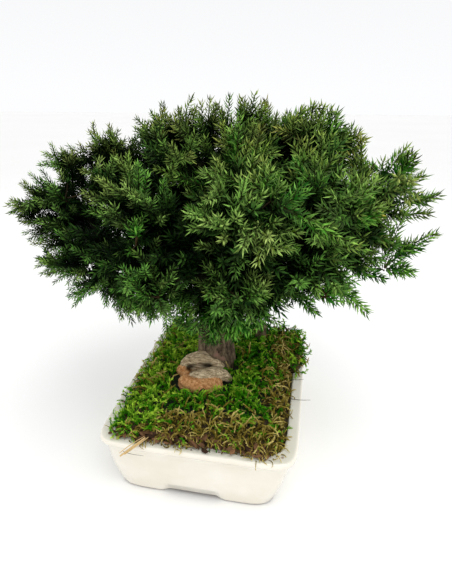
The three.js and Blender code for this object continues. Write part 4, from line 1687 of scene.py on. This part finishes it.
def make_crown():
    """The crown's sprays, each in place of its CAD solid."""
    names = [f"spray_{number:02d}" for number in range(1, SPRAY_COUNT + 1)]
    spray_points = {name: node_points(name) for name in names}
    owners = [name for name, points in spray_points.items() for _ in points]
    sprays = Places(np.vstack(list(spray_points.values())), owners)
    twigs = Places(node_points("trunk"))
    chains = {name: Strands() for name in names}
    rng = np.random.default_rng(CROWN_SEED)

    def grow_tuft(tip, way, **sizes):
        """Grows a tuft from the nearest wood behind it, in the spray that its tip belongs to."""
        hub, _ = twigs.nearest(tip - way * WOOD_BEHIND_TIP)
        _, owner = sprays.nearest(tip)
        tuft(chains[owner], hub, tip, way, rng, **sizes)

    skin_tufts(grow_tuft, rng)
    outline_tufts(grow_tuft, rng)
    dry_tip = from_crown(DRY_TIP)
    grow_tuft(dry_tip, unit(dry_tip - from_crown(CROWN_MIDDLE)), **DRY_TUFT)
    inner_tufts(grow_tuft, rng, chains)
    let_in_daylight(chains)
    needle = needle_blade()
    leaf = juniper_leaf()
    for number, (name, strands) in enumerate(chains.items(), 1):
        piece = strands.made(f"juniper_{name}")
        grow(piece, leafy_shoots(needle, leaf, number))
        finish_piece(piece, "juniper_needles", name)
    discard(needle)


# The stage


def make_floor():
    """A plain pale floor under the pot's foot."""
    reach = 6000
    corners = [(-reach, -reach, 0), (reach, -reach, 0), (reach, reach, 0), (-reach, reach, 0)]
    floor = mesh_object("floor", corners, [(0, 1, 2, 3)])
    made, tree, shader = material("pale_floor")
    clouds = grain(tree, coordinates(tree), 900)
    tone = ramp(tree, clouds, (0.3, colour(240, 240, 238)), (0.7, colour(244, 244, 242)))
    surface(tree, shader, tone, {"Roughness": 0.6})
    floor.data.materials.append(made)


def lamp(name, place, aim, size, power):
    """A square soft lamp at a place in the pot's frame, turned to its aim."""
    light = bpy.data.lights.new(name, "AREA")
    light.shape = "SQUARE"
    light.size = size * MM
    light.energy = power
    made = in_scene(bpy.data.objects.new(name, light))
    made.location = Vector(to_frame(place))
    made.rotation_euler = (Vector(aim) - Vector(place)).to_track_quat("-Z", "Y").to_euler()


def make_light():
    """A white room, brightest overhead, and a large soft lamp over the right shoulder."""
    world = bpy.data.worlds.new("white_room")
    world.use_nodes = True
    tree = world.node_tree
    sky = next(n for n in tree.nodes if n.type == "BACKGROUND")
    height = part_of(tree, put(tree, "ShaderNodeTexCoord", out="Generated"), "Z")
    level = spread(tree, height, 0.0, 0.16, 1.0, 0.955)
    overhead = spread(tree, height, 0.2, 0.8, 0.0, ROOM_OVERHEAD)
    tree.links.new(calc(tree, "ADD", level, overhead), sky.inputs["Strength"])
    sky.inputs["Color"].default_value = (0.985, 0.99, 1.0, 1)
    bpy.context.scene.world = world
    lamp("soft_lamp", (260, -260, 900), (0, 0, 120), 600, LAMP_POWER)
    bpy.context.scene.view_settings.view_transform = "Standard"


def make_camera():
    """The camera where the photograph was taken from."""
    view = bpy.data.cameras.new("camera")
    view.lens = CAMERA_LENS
    view.sensor_width = CAMERA_SENSOR
    view.clip_start = 0.01
    made = in_scene(bpy.data.objects.new("camera", view))
    level = math.cos(CAMERA_PITCH)
    forward = (-math.sin(CROWN_TURN) * level, math.cos(CROWN_TURN) * level, -math.sin(CAMERA_PITCH))
    made.location = Vector(to_frame(CAMERA_PLACE))
    made.rotation_euler = Vector(forward).to_track_quat("-Z", "Y").to_euler()
    bpy.context.scene.camera = made


make_camera()
make_light()
make_floor()
make_pot()
make_moss()
make_dead_wood()
make_straw()
make_hairs()
paint_inside()
make_trunk()
make_crown()
